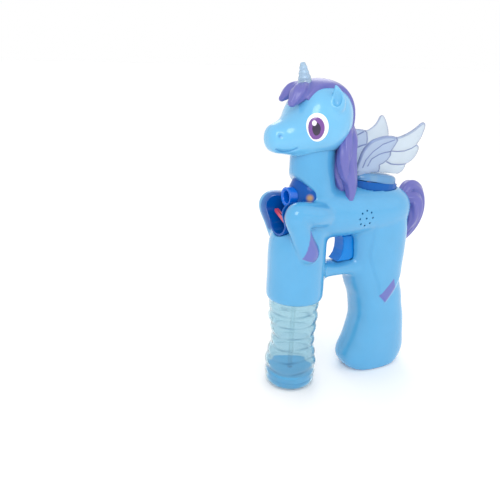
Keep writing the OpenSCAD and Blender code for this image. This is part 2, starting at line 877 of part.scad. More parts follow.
module horn() {
  color(clear_pale)
    horn_place()
      rotate_extrude($fn = round_facets)
        polygon([[light_r + seat_fit, 0], [horn_foot_r, 0], [horn_foot_r, horn_foot_h],
          [horn_r, horn_foot_h * 1.2], [horn_r * (1 + horn_tip_share) / 2, horn_h * 0.6],
          [horn_r * horn_tip_share, horn_h * 0.94], [horn_r * horn_tip_share * 0.6, horn_h], [0, horn_h],
          [0, light_h * 1.3], [light_r + seat_fit, light_h * 1.3]]);
}

// Wings, saddle and window

module saddle_place() {
  translate([saddle_x, 0, saddle_z])
    rotate([0, saddle_tilt, 0])
      children();
}

module wing_place(side) {
  translate([wing_root_x, side * wing_root_y,
    saddle_z + saddle_t - (wing_root_x - saddle_x) * tan(saddle_tilt)])
    rotate([-side * wing_lean, 0, 0])
      children();
}

// Outline of a wing as shares of its length: up the front, over the covert, then round the feather tips
wing_edge_shares = [
  [-0.193, -0.1], [-0.202, 0.1], [-0.207, 0.265], [-0.207, 0.455], [-0.164, 0.566], [-0.099, 0.651], [0.024, 0.704],
  [0.159, 0.733], [0.313, 0.723], [0.451, 0.706], [0.578, 0.754], [0.694, 0.827], [0.771, 0.904], [0.827, 0.969],
  [0.872, 0.988], [0.916, 0.949], [0.949, 0.819], [0.954, 0.675], [0.94, 0.542], [0.995, 0.506], [1.031, 0.417],
  [1.034, 0.313], [1, 0.217], [0.94, 0.157], [0.892, 0.128], [0.896, 0.048], [0.875, -0.036], [0.771, -0.111]];

module wing_flat() {
  polygon([for (s = wing_edge_shares) s * wing_len]);
}

wing_foot = 12;

module wing(side) {
  wing_place(side)
    rotate([90, 0, 0]) {
      linear_extrude(wing_t, center = true)
        intersection() {
          wing_flat();
          rotate(-saddle_tilt)
            translate([-wing_len, seat_fit + wing_t * sin(wing_lean) / 2])
              square([3 * wing_len, 3 * wing_len]);
        }
      linear_extrude(wing_t - seat_fit, center = true)
        translate([-wing_foot / 2, -wing_plug])
          square([wing_foot, wing_plug + wing_t * 2]);
    }
}

module wing_left() {
  color(clear_pale)
    wing(-1);
}

module wing_right() {
  color(clear_pale)
    wing(1);
}

module wing_saddle() {
  color(clear_pale)
    difference() {
      saddle_place()
        linear_extrude(saddle_t)
          saddle_outline(0);
      for (side = [-1, 1])
        wing_place(side)
          rotate([90, 0, 0])
            linear_extrude(wing_t + 2 * seat_fit, center = true)
              translate([-wing_foot / 2 - seat_fit, -wing_plug - seat_fit])
                square([wing_foot + 2 * seat_fit, wing_plug + saddle_t]);
      saddle_light_place()
        cylinder(saddle_t / 2 + light_h, r = light_r + seat_fit, $fn = round_facets);
    }
}

module back_window() {
  color(deep_blue)
    difference() {
      translate([saddle_x, 0, window_z + window_lift])
        linear_extrude(torso_h)
          saddle_outline(window_out - seat_fit);
      translate([saddle_x, 0, window_z])
        linear_extrude(torso_h)
          saddle_outline(window_out - seat_fit - housing_wall);
      saddle_place()
        translate([-far / 2, -far / 2, -seat_fit])
          cube([far, far, far]);
    }
}

// Front housing, nozzle and duct

module front_housing() {
  floor_z = tray_z - housing_wall + floor_lap;
  color(deep_blue)
    difference() {
      union() {
        difference() {
          dome_solid(0);
          translate([0, 0, -slice_t])
            dome_solid(-housing_wall);
        }
        intersection() {
          difference() {
            trough_solid(0);
            trough_solid(-housing_wall);
          }
          side_extrude(-cheek_out - over, cheek_out + over)
            trough_side();
        }
        translate([dome_x - dome_r, -cheek_in, floor_z])
          cube([dome_r, 2 * cheek_in, housing_wall]);
        along_x(wiper_front + wiper_t + wiper_gap, wiper_y, wiper_z)
          cylinder(bearing_len, r = bearing_r, $fn = round_facets);
      }
      along_x(nozzle_front - over, 0, nozzle_z)
        cylinder(nozzle_len, r = nozzle_r + seat_fit, $fn = round_facets);
      along_x(wiper_front, wiper_y, wiper_z)
        cylinder(crank_x - wiper_front, r = wiper_shaft_r + run_fit, $fn = round_facets);
    }
}

floor_lap = 0.4;

// Side view of the cheeks and of the round tray under them
module trough_side() {
  back = dome_x - dome_r / 2 - trough_in;
  intersection() {
    union() {
      leg_flat(wall / 2);
      translate([tray_lip_x, trough_z - cheek_out - over])
        square([back - tray_lip_x, tray_lip_h + over]);
    }
    translate([-far / 2, 0])
      square([far / 2 + back, far]);
  }
}

module bubble_nozzle() {
  color(ring_blue)
    along_x(nozzle_front, 0, nozzle_z)
      rotate_extrude($fn = round_facets)
        polygon([[nozzle_bore_r + nozzle_rim, 0], [nozzle_r - nozzle_rim / 2, 0], [nozzle_r, nozzle_rim / 2],
          [nozzle_r, nozzle_len], [nozzle_bore_r, nozzle_len], [nozzle_bore_r, nozzle_rim]]);
}

module air_duct() {
  duct_end = nozzle_front + nozzle_len;
  color(white_plastic)
    difference() {
      union() {
        along_x(fan_front, 0, motor_z)
          cylinder(motor_x - fan_front, r = fan_house_r, $fn = round_facets);
        hull() {
          along_x(fan_front, 0, motor_z + duct_lift)
            cylinder(duct_wall, r = fan_house_r - duct_lift, $fn = round_facets);
          along_x(duct_end - 2 * duct_wall, 0, nozzle_z)
            cylinder(duct_wall, r = nozzle_r + duct_wall + seat_fit, $fn = round_facets);
        }
      }
      along_x(duct_end - 3 * duct_wall, 0, nozzle_z)
        cylinder(3 * duct_wall, r = nozzle_r + seat_fit, $fn = round_facets);
      along_x(fan_front + duct_wall, 0, motor_z)
        cylinder(motor_x - fan_front - 2 * duct_wall, r = fan_r + move_gap, $fn = round_facets);
      hull() {
        along_x(fan_front + 2 * duct_wall, 0, motor_z + duct_lift)
          cylinder(duct_wall, r = fan_house_r - duct_lift - 2 * duct_wall, $fn = round_facets);
        along_x(duct_end - over, 0, nozzle_z)
          cylinder(duct_wall, r = nozzle_r - duct_wall, $fn = round_facets);
      }
      along_x(motor_x - 2 * duct_wall, 0, motor_z)
        cylinder(3 * duct_wall, r = motor_boss_r + seat_fit, $fn = round_facets);
    }
}

// Motor, gears and pump

motor_boss_r = 3;
motor_boss_t = 1;
motor_screw_at = 7;
motor_screw_r = 1;

function gear_rim(teeth) = gear_module * teeth / 2;
function gear_turn(r, base) = r <= base ? 0 : sqrt(r * r / base / base - 1) * 180 / PI - acos(base / r);

// Flat gear with one tooth on its X line
module gear_flat(teeth) {
  rim = gear_rim(teeth);
  base = rim * cos(gear_pressure);
  foot = rim - gear_ded * gear_module;
  tip = rim + gear_add * gear_module;
  half_tooth = 90 / teeth - gear_backlash / 2 / rim * 180 / PI + gear_turn(rim, base);
  start = max(foot, base);
  steps = [0, 0.3, 0.65, 1];
  polygon([for (i = [0:teeth - 1]) each concat(
    [let (a = 360 * i / teeth - half_tooth) [foot * cos(a), foot * sin(a)]],
    [for (s = steps) let (r = start + s * (tip - start),
      a = 360 * i / teeth - half_tooth + gear_turn(r, base))
      [r * cos(a), r * sin(a)]],
    [for (s = [3:-1:0]) let (r = start + steps[s] * (tip - start),
      a = 360 * i / teeth + half_tooth - gear_turn(r, base)) [r * cos(a), r * sin(a)]],
    [let (a = 360 * i / teeth + half_tooth) [foot * cos(a), foot * sin(a)]])]);
}

module motor() {
  color(steel)
    difference() {
      union() {
        along_x(motor_x, 0, motor_z)
          linear_extrude(motor_len)
            intersection() {
              circle(motor_h / 2, $fn = round_facets);
              square([motor_w, motor_h + over], center = true);
            }
        along_x(motor_x - motor_boss_t, 0, motor_z)
          cylinder(motor_len + 2 * motor_boss_t, r = motor_boss_r, $fn = round_facets);
      }
      along_x(motor_x - 2 * motor_boss_t, 0, motor_z)
        cylinder(motor_len + 4 * motor_boss_t, r = shaft_r + run_fit, $fn = round_facets);
      for (side = [-1, 1])
        along_x(plate_x - motor_screw_len, 0, motor_z + side * motor_screw_at)
          cylinder(motor_screw_len + over, r = motor_screw_r + seat_fit, $fn = round_facets);
    }
}

motor_screw_len = 3;
motor_screw_head_r = 1.9;
motor_screw_head_t = 0.7;

module motor_screws() {
  color(steel)
    for (side = [-1, 1])
      along_x(plate_x - motor_screw_len + seat_fit, 0, motor_z + side * motor_screw_at) {
        cylinder(motor_screw_len + plate_t, r = motor_screw_r, $fn = round_facets);
        translate([0, 0, motor_screw_len + plate_t - seat_fit])
          cylinder(motor_screw_head_t, r = motor_screw_head_r, $fn = round_facets);
      }
}

module motor_shaft() {
  color(steel)
    along_x(fan_x, 0, motor_z)
      cylinder(pinion_x + pinion_t - fan_x, r = shaft_r, $fn = round_facets);
}

module drive_pinion() {
  color(white_plastic)
    along_x(pinion_x, 0, motor_z)
      difference() {
        linear_extrude(pinion_t)
          rotate(-90)
            gear_flat(pinion_teeth);
        translate([0, 0, -over])
          cylinder(pinion_t + 2 * over, r = shaft_r, $fn = round_facets);
      }
}

module idler_gear() {
  color(white_plastic)
    along_x(idler_x, 0, idler_z)
      difference() {
        union() {
          linear_extrude(idler_t)
            rotate(90 + 180 / idler_teeth)
              gear_flat(idler_teeth);
          translate([0, 0, idler_t - slice_t])
            linear_extrude(idler_small_t)
              rotate(-90)
                gear_flat(idler_small_teeth);
        }
        translate([0, 0, -over])
          cylinder(idler_t + idler_small_t + 2 * over, r = axle_r + run_fit, $fn = round_facets);
      }
}

module idler_axle() {
  color(steel)
    along_x(plate_x, 0, idler_z)
      cylinder(pump_plate_x + pump_plate_t - plate_x, r = axle_r, $fn = round_facets);
}

module pump_gear() {
  color(white_plastic)
    along_x(pump_gear_x, 0, pump_z)
      difference() {
        union() {
          linear_extrude(pump_gear_t)
            rotate(90 + 180 / pump_teeth)
              gear_flat(pump_teeth);
          for (i = [0:rollers - 1])
            rotate(360 * i / rollers - 90)
              translate([roller_at, 0, 0])
                cylinder(pump_gear_t + roller_t, r = roller_pin_r, $fn = round_facets);
        }
        translate([0, 0, -over])
          cylinder(pump_gear_t + 2 * over, r = axle_r + run_fit, $fn = round_facets);
      }
}

module pump_rollers() {
  color(dark_plastic)
    for (i = [0:rollers - 1])
      along_x(roller_x, 0, pump_z)
        rotate(360 * i / rollers - 90)
          translate([roller_at, 0, 0])
            difference() {
              cylinder(roller_t - move_gap, r = roller_r, $fn = round_facets);
              translate([0, 0, -over])
                cylinder(roller_t + 2 * over, r = roller_pin_r + run_fit, $fn = round_facets);
            }
}

module pump_axle() {
  color(steel)
    along_x(plate_x, 0, pump_z)
      cylinder(pump_plate_x + pump_plate_t - plate_x, r = axle_r, $fn = round_facets);
}

module pump_housing() {
  color(white_plastic)
    difference() {
      union() {
        translate([pump_plate_x, -plate_half, plate_low])
          cube([pump_plate_t, 2 * plate_half, idler_z + pump_plate_rise - plate_low]);
        along_x(roller_x, 0, pump_z)
          rotate(180)
            rotate_extrude(angle = 180, $fn = round_facets)
              translate([pump_ring_r, 0])
                square([pump_ring_t, pump_plate_x - roller_x + slice_t]);
      }
      for (z = [idler_z, pump_z])
        along_x(pump_plate_x - over, 0, z)
          cylinder(pump_plate_t + 2 * over, r = axle_r, $fn = round_facets);
    }
}

module gear_plate() {
  color(white_plastic)
    difference() {
      translate([plate_x, -plate_half, plate_low])
        cube([plate_t, 2 * plate_half, plate_high - plate_low]);
      along_x(plate_x - over, 0, motor_z)
        cylinder(plate_t + 2 * over, r = motor_boss_r + seat_fit, $fn = round_facets);
      for (z = [idler_z, pump_z])
        along_x(plate_x - over, 0, z)
          cylinder(plate_t + 2 * over, r = axle_r, $fn = round_facets);
      for (side = [-1, 1])
        along_x(plate_x - over, 0, motor_z + side * motor_screw_at)
          cylinder(plate_t + 2 * over, r = motor_screw_r + seat_fit, $fn = round_facets);
    }
}

module fan_impeller() {
  color(white_plastic)
    along_x(fan_x, 0, motor_z)
      difference() {
        union() {
          cylinder(fan_t, r = fan_hub_r, $fn = round_facets);
          translate([0, 0, fan_t - fan_plate_t])
            cylinder(fan_plate_t, r = fan_r, $fn = round_facets);
          for (i = [0:fan_blades - 1])
            rotate(360 * i / fan_blades)
              translate([fan_hub_r * 0.8, -fan_blade_t / 2, fan_blade_t / 2])
                cube([fan_r * 0.97 - fan_hub_r * 0.8, fan_blade_t,
                  fan_t - fan_plate_t / 2 - fan_blade_t / 2]);
        }
        translate([0, 0, -over])
          cylinder(fan_t + 2 * over, r = shaft_r, $fn = round_facets);
      }
}

// Tubes

tube_steps = 10;
dip_gap = 4;
tube_facets = 12;
tube_wall = 0.8;
tube_way = 0.8;
tube_low = socket_top + socket_plate + tube_r + seat_fit;
// From the socket through the bar under the finger gap: places from the column, then from the grip
tube_front = [[0, 0, 0], [0, 0, 3.6], [3.6, 0, 6.4], [10.4, 0, 5.4], [15.6, 0, 2.2], [19.6, -0.5, -1],
  [23.4, -1, -3.4]];
tube_grip = [[-41, -2, -5.7], [-27, -5, -5.3], [-17, -8.4, -3.7], [-11, -10.8, -2.6], [-5, -12.2, -1.4]];
// Up beside the gears and into the pump: places from the pump's axis and its loop
tube_rise = [[-8.2, -12.8, -8], [-8.4, -13.2, 0.2], [-7.6, -13.3, 5.7], [-4.6, -13.2, 8], [-1.6, -12.6, 6.7],
  [0, -12, 3.2]];
// From the pump over the motor: places from the grip, then from the nozzle
tube_out = [[2.2, 13, -16], [-3.8, 15.6, -6], [-15, 16.2, -2], [-31, 15.8, 2]];
tube_end = [[27, 15, -6], [18, 11.2, -0.6], [12, 8, 6], [6, 4, 10], [2, 0.6, 11], [0, 0, 11]];

module pump_tube() {
  points = concat(
    [for (p = tube_front) [p[0], p[1], tube_low + p[2]]],
    [for (p = tube_grip) [grip_x + p[0], p[1], tube_low + p[2]]],
    [for (p = tube_rise) [loop_x + p[0], p[1], pump_z + p[2]]],
    [for (a = [180:15:360]) [loop_x, loop_r * cos(a), pump_z + loop_r * sin(a)]],
    [for (p = tube_out) [grip_x + p[0], p[1], torso_z + p[2]]],
    [for (p = tube_end) [p[0], p[1], nozzle_z + p[2]]],
    [[0, 0, nozzle_z + nozzle_r + tube_r + seat_fit]]);
  color(tube_clear)
    for (i = [0:len(points) - 2])
      hull()
        for (k = [i, i + 1])
          translate(points[k])
            sphere(tube_r, $fn = tube_facets);
}

module dip_tube() {
  dip_low = bottle_wall + dip_gap;
  color(tube_clear)
    translate([0, 0, dip_low])
      difference() {
        cylinder(socket_top + socket_plate - dip_low, r = tube_r, $fn = round_facets);
        translate([0, 0, -over])
          cylinder(socket_top + socket_plate + over, r = tube_r - tube_wall, $fn = round_facets);
      }
}

// Bottle

function bottle_bump(t) = abs(t) >= 1 ? 0 : pow(1 - t * t, 2);
function bottle_wave(z) = rib_depth / 2 * (1 - cos(360 * rib_count * z / bottle_h));
function bottle_at(z) = bottle_r - waist_depth * bottle_bump((z / bottle_h - 0.5) / 0.26)
  + bulge_out * bottle_bump((z / bottle_h - 0.25) / 0.2)
  - bottle_wave(z) * (z > bottle_h * 0.08 && z < bottle_h * 0.9 ? 1 : 0);

base_round = 5;
base_out = 0.8;
shoulder_out = 2;
shoulder_drop = 0.6;
bottle_base_r = bottle_r - base_round - base_out;
shoulder_h = 3.4;
profile_steps = 44;

function bottle_side(inset, top) = concat(
  [for (a = [0:15:90]) [bottle_base_r + (base_round + base_out) * sin(a) - inset,
    max(base_round * (1 - cos(a)), inset)]],
  [for (i = [1:profile_steps]) let (z = base_round + (top - base_round) * i / profile_steps)
    [bottle_at(z) - inset, z]]);

module helix_ridge(r_in, r_out, foot, crest, turns, pitch) {
  n = ceil(turns * thread_steps);
  points = [for (i = [0:n]) let (a = 360 * i / thread_steps, z = pitch * i / thread_steps)
    each [[r_in * cos(a), r_in * sin(a), z - foot], [r_out * cos(a), r_out * sin(a), z - crest],
      [r_out * cos(a), r_out * sin(a), z + crest], [r_in * cos(a), r_in * sin(a), z + foot]]];
  side_faces = [for (i = [0:n - 1]) for (k = [0:3]) let (p = 4 * i + k, q = 4 * i + (k + 1) % 4)
    each [[p, q, q + 4], [p, q + 4, p + 4]]];
  faces = concat(side_faces, [[3, 2, 1, 0]], [[4 * n, 4 * n + 1, 4 * n + 2, 4 * n + 3]]);
  polyhedron(points, r_in < r_out ? faces : [for (f = faces) [for (k = [len(f) - 1:-1:0]) f[k]]]);
}

module bottle() {
  body_top = bottle_h - shoulder_h;
  inner_neck = bottle_neck_r - bottle_wall;
  color(clear_aqua) {
    rotate_extrude($fn = round_facets)
      polygon(concat([[0, 0]], bottle_side(0, body_top),
        [[bottle_neck_r + shoulder_out, bottle_h - shoulder_drop], [bottle_neck_r, bottle_h],
          [bottle_neck_r, mouth_z],
          [inner_neck, mouth_z], [inner_neck, bottle_h - bottle_wall]],
        [for (p = [len(bottle_side(0, body_top)) - 1:-1:0])
          bottle_side(bottle_wall, body_top - bottle_wall)[p]],
        [[0, bottle_wall]]));
    translate([0, 0, thread_z])
      helix_ridge(bottle_neck_r - thread_root, bottle_neck_r + thread_depth, thread_foot, thread_crest,
        thread_turns, thread_pitch);
  }
}

thread_z = bottle_h + 4;

module bubble_solution() {
  level = bottle_h * fill_share;
  color(soap_blue)
    difference() {
      rotate_extrude($fn = round_facets)
        polygon(concat([[0, bottle_wall + seat_fit]], bottle_side(bottle_wall + seat_fit, level),
          [[0, level]]));
      translate([0, 0, -over])
        cylinder(bottle_h, r = tube_r + move_gap, $fn = round_facets);
    }
}

module bottle_socket() {
  color(white_plastic) {
    difference() {
      translate([0, 0, socket_z0])
        cylinder(socket_top + socket_plate - socket_z0, r = socket_r, $fn = round_facets);
      translate([0, 0, socket_z0 - over])
        cylinder(socket_top - socket_z0 + over, r = socket_bore, $fn = round_facets);
      translate([0, 0, socket_top - over])
        cylinder(socket_plate + 2 * over, r = tube_r, $fn = round_facets);
      translate([socket_bore + wall / 2, -tube_r - tube_way, socket_top - tube_r / 2])
        cube([column_r - socket_bore, 2 * tube_r + 2 * tube_way, socket_plate + tube_r]);
      for (a = [0:90:270])
        rotate(a)
          translate([bottle_neck_r * 0.6, 0, socket_top - over])
            cylinder(socket_plate + 2 * over, r = tube_r * 0.8, $fn = round_facets);
    }
    translate([0, 0, thread_z + thread_pitch / 2])
      helix_ridge(socket_bore + thread_root, socket_bore - thread_depth, thread_foot, thread_crest,
        thread_turns - 0.5, thread_pitch);
  }
}

module bottle_seal() {
  color(dark_plastic)
    translate([0, 0, mouth_z])
      difference() {
        cylinder(seal_t, r = bottle_neck_r - seat_fit, $fn = round_facets);
        translate([0, 0, -over])
          cylinder(seal_t + 2 * over, r = bottle_neck_r * 0.72, $fn = round_facets);
      }
}

// Trigger and wiper

module trigger() {
  front = [for (s = trigger_shares) [trigger_x + s[0] * trigger_h, trigger_z0 + s[1] * trigger_h]];
  color(ring_blue)
    difference() {
      union() {
        side_extrude(-trigger_w / 2, trigger_w / 2)
          polygon(concat(front, [[trigger_back, trigger_z1], [trigger_back, trigger_z0 + trigger_h * 0.1],
            [trigger_back - trigger_h * 0.3, trigger_z0]]));
        translate([cam_back - stem_w, -stem_w / 2, trigger_z1 - over])
          cube([stem_w, stem_w, cam_high - trigger_z1 + over]);
      }
      translate([cam_back - stem_w - over, cam_y - cam_t / 2 - seat_fit, cam_low - seat_fit])
        cube([stem_w + 2 * over, cam_t + 2 * seat_fit, cam_high - cam_low + over]);
    }
}

function crank_angle(s) = crank_rest + wiper_swing * s;
function crank_lift(s) = crank_reach * tan(crank_angle(s));

module wiper_cam() {
  slot = [for (i = [0:slot_steps]) i / slot_steps];
  cam_peak = wiper_z + crank_reach + cam_edge;
  color(white_plastic)
    side_extrude(cam_y - cam_t / 2, cam_y + cam_t / 2)
      difference() {
        union() {
          translate([cam_front, cam_low])
            square([cam_back - cam_front, cam_high - cam_low]);
          polygon([[cam_front, cam_low], [cam_front, cam_peak], [cam_front + cam_head, cam_peak],
            [cam_front + trigger_travel + cam_tail, cam_peak - cam_slope],
            [cam_front + trigger_travel + cam_tail, cam_low]]);
        }
        polygon(concat(
          [[crank_x + slot_end, wiper_z + crank_lift(0) - slot_half]],
          [for (s = slot) [crank_x - s * trigger_travel, wiper_z + crank_lift(s) - slot_half]],
          [[crank_x - trigger_travel - slot_end, wiper_z + crank_lift(1) - slot_half],
            [crank_x - trigger_travel - slot_end, wiper_z + crank_lift(1) + slot_half]],
          [for (i = [slot_steps:-1:0]) [crank_x - slot[i] * trigger_travel,
            wiper_z + crank_lift(slot[i]) + slot_half]],
          [[crank_x + slot_end, wiper_z + crank_lift(0) + slot_half]]));
      }
}

module wiper() {
  color(warm_red) {
    along_x(wiper_front, wiper_y, wiper_z)
      cylinder(crank_x + 2 * crank_r - wiper_front, r = wiper_shaft_r, $fn = round_facets);
    along_x(wiper_front, wiper_y, wiper_z)
      cylinder(wiper_t, r = wiper_hub_r, $fn = round_facets);
    along_x(wiper_front, wiper_y, wiper_z)
      rotate(wiper_rest) {
        translate([0, -wiper_w / 2, 0])
          cube([wiper_reach - wiper_w / 2, wiper_w, wiper_t]);
        translate([wiper_reach - wiper_w / 2, 0, 0])
          cylinder(wiper_t, r = wiper_w / 2, $fn = round_facets);
      }
    translate([crank_x, wiper_y, wiper_z])
      rotate([crank_rest - 90, 0, 0])
        cylinder(crank_len, r = crank_r, $fn = round_facets);
  }
}

module trigger_spring() {
  length = plate_x - trigger_back - 2 * seat_fit;
  n = spring_turns * spring_steps;
  rise = (length - 2 * spring_wire) / n;
  places = [for (i = [0:n]) let (a = 360 * i / spring_steps)
    [spring_r * cos(a), spring_r * sin(a), spring_wire + rise * i]];
  points = [for (i = [0:n]) for (k = [0:5]) let (a = 360 * i / spring_steps, b = 60 * k)
    [(spring_r + spring_wire * cos(b)) * cos(a), (spring_r + spring_wire * cos(b)) * sin(a),
      places[i][2] + spring_wire * sin(b)]];
  faces = concat([for (i = [0:n - 1]) for (k = [0:5]) let (p = 6 * i + k, q = 6 * i + (k + 1) % 6)
    each [[p, p + 6, q + 6], [p, q + 6, q]]],
    [[0, 1, 2, 3, 4, 5]], [[6 * n + 5, 6 * n + 4, 6 * n + 3, 6 * n + 2, 6 * n + 1, 6 * n]]);
  color(steel)
    along_x(trigger_back + seat_fit, 0, spring_z)
      polyhedron(points, faces);
}

switch_len = 5;
switch_w = 6;
switch_h = 10;
switch_button_r = 1.2;
switch_gap = 0.15;
switch_z = trigger_z0 + trigger_h * 0.14;

module trigger_switch() {
  switch_x = plate_x - switch_len;
  color(dark_plastic) {
    translate([switch_x, -switch_w / 2, switch_z])
      cube([switch_len - seat_fit, switch_w, switch_h * 0.6]);
    along_x(trigger_back + trigger_travel + switch_gap, 0, switch_z + switch_h * 0.3)
      cylinder(switch_len - seat_fit, r = switch_button_r, $fn = round_facets);
  }
}

// Power, sound and light

module battery_cells() {
  color(cell_green)
    for (c = cell_spots)
      translate([tray_x + c[0], c[1], cell_z0]) {
        cylinder(cell_h - cell_tip, r = cell_r, $fn = round_facets);
        translate([0, 0, cell_h - cell_tip - slice_t])
          cylinder(cell_tip, r = cell_r * 0.36, $fn = round_facets);
      }
}

module battery_tray() {
  tray_low = cell_z0 + cell_h * 0.1;
  tray_high = cell_z0 + cell_h + contact_t + tray_cap;
  color(dark_plastic)
    difference() {
      translate([tray_x, 0, tray_low])
        linear_extrude(tray_high - tray_low)
          intersection() {
            hull()
              for (c = cell_spots)
                translate(c)
                  circle(cell_r + tray_wall, $fn = round_facets);
            translate([-tray_wall, 0])
              polygon(oval(tray_half, grip_w / 2 - wall - 2 * seat_fit, grip_n));
          }
      for (c = cell_spots)
        translate([tray_x + c[0], c[1], tray_low - over])
          cylinder(cell_z0 + cell_h + contact_t + seat_fit - tray_low + over, r = cell_r + seat_fit,
            $fn = round_facets);
    }
}

module battery_contacts() {
  color(steel)
    for (c = cell_spots) {
      translate([tray_x + c[0], c[1], cell_z0 + cell_h + seat_fit / 2])
        cylinder(contact_t, r = cell_r * 0.8, $fn = round_facets);
      translate([tray_x + c[0], c[1], door_t])
        cylinder(cell_z0 - door_t - seat_fit / 2, r1 = cell_r * 0.7, r2 = cell_r * 0.4, $fn = round_facets);
    }
}

door_screw_lead = 8.4;
door_screw_x = grip_x - door_screw_lead;
door_boss_r = 2.8;

module battery_door() {
  color(body_blue)
    difference() {
      linear_extrude(door_t)
        door_outline(0);
      translate([door_screw_x, 0, -over])
        cylinder(door_t + 2 * over, r = screw_r + seat_fit, $fn = round_facets);
      translate([door_screw_x, 0, -over])
        cylinder(over + screw_head_t * 0.7, r = screw_head_r + seat_fit, $fn = round_facets);
    }
}

module door_screw() {
  color(steel)
    translate([door_screw_x, 0, screw_head_t * 0.7 - screw_head_t * 0.6]) {
      cylinder(screw_head_t * 0.6, r = screw_head_r, $fn = round_facets);
      cylinder(screw_len * 0.6, r = screw_r, $fn = round_facets);
    }
}

module speaker() {
  color(dark_plastic) {
    along_y(speaker_x, speaker_y + speaker_t + seat_fit, speaker_z)
      cylinder(speaker_t, r = speaker_r, $fn = round_facets);
    along_y(speaker_x, speaker_y + speaker_t + magnet_t + seat_fit, speaker_z)
      cylinder(magnet_t + slice_t, r = magnet_r, $fn = round_facets);
  }
}

chip_len = 7;
chip_h = 5;
chip_t = 1.4;

module circuit_board() {
  color(board_green)
    difference() {
      union() {
        translate([board_x, -board_t / 2 - seat_fit, board_z])
          cube([board_len, board_t, board_h]);
        translate([board_x + board_len / 2 - chip_len / 2, -board_t / 2 - seat_fit - chip_t,
          board_z + board_h / 2 - chip_h / 2])
          cube([chip_len, chip_t + slice_t, chip_h]);
      }
      for (z = [board_z + post_r, board_z + board_h - post_r])
        along_y(board_x + board_len / 2, torso_w / 2, z)
          cylinder(torso_w, r = board_screw_r + seat_fit, $fn = round_facets);
    }
}

module board_screws() {
  color(steel)
    for (z = [board_z + post_r, board_z + board_h - post_r]) {
      along_y(board_x + board_len / 2, board_screw_len, z)
        cylinder(board_screw_len + board_t / 2 + 2 * seat_fit, r = board_screw_r, $fn = round_facets);
      along_y(board_x + board_len / 2, -board_t / 2 - 1.5 * seat_fit, z)
        cylinder(board_head_t, r = board_screw_r * 1.8, $fn = round_facets);
    }
}

light_r = 2.5;
light_h = 5;
dome_light_turn = -125;
dome_light_at = dome_r - housing_wall - light_r - seat_fit;

module saddle_light_place() {
  saddle_place()
    translate([-saddle_len * 0.02, 0, -light_h * 0.6])
      children();
}

module light_shape() {
  cylinder(light_h - light_r, r = light_r, $fn = round_facets);
  translate([0, 0, light_h - light_r])
    sphere(light_r, $fn = round_facets);
}

module lights() {
  color(light_amber) {
    horn_place()
      translate([0, 0, slice_t])
        light_shape();
    saddle_light_place()
      light_shape();
    translate([dome_x + dome_light_at * cos(dome_light_turn), dome_light_at * sin(dome_light_turn),
      nozzle_z - light_h])
      light_shape();
  }
}

module shell_screws() {
  color(steel)
    for (s = screw_spots) {
      along_y(s[0], screw_seat + slice_t, s[1])
        cylinder(screw_len, r = screw_r, $fn = round_facets);
      along_y(s[0], screw_seat + slice_t + screw_head_t, s[1])
        cylinder(screw_head_t, r = screw_head_r, $fn = round_facets);
    }
}

body_shell_left();
body_shell_right();
head_shell_left();
head_shell_right();
mane();
tail();
horn();
wing_saddle();
wing_left();
wing_right();
back_window();
front_housing();
bubble_nozzle();
air_duct();
fan_impeller();
motor();
motor_shaft();
drive_pinion();
idler_gear();
idler_axle();
pump_gear();
pump_rollers();
pump_axle();
pump_housing();
gear_plate();
motor_screws();
pump_tube();
dip_tube();
bottle_socket();
bottle_seal();
bottle();
bubble_solution();
trigger();
wiper_cam();
trigger_spring();
trigger_switch();
wiper();
battery_cells();
battery_tray();
battery_contacts();
battery_door();
door_screw();
speaker();
circuit_board();
board_screws();
lights();
shell_screws();
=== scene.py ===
# Dressed scene of a battery bubble gun shaped like a winged unicorn. Sizes are in millimetres until make().
import math

import bmesh
import bpy
import numpy as np
from mathutils import Matrix, Vector
from mathutils.bvhtree import BVHTree


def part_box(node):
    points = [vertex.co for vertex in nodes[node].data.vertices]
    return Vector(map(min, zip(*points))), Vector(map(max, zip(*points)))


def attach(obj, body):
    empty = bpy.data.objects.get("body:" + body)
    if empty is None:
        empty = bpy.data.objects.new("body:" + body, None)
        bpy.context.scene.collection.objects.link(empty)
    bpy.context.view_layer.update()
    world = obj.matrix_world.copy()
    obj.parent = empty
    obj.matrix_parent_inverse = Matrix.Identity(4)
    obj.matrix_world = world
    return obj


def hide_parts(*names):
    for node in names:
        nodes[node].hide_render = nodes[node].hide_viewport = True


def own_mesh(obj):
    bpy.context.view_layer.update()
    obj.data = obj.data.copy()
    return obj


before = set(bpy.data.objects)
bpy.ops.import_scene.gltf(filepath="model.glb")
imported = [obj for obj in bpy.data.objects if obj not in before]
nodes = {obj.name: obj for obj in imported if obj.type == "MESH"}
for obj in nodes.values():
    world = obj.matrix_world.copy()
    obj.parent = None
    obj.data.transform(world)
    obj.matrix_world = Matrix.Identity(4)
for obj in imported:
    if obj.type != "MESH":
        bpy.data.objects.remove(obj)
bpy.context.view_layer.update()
scene = bpy.context.scene

# A millimetre in metres, a length past the whole toy, and the metres within which vertices are joined
MM = 0.001
FAR = 120.0
WELD = 1e-7


# Driving sizes, as in the part's source

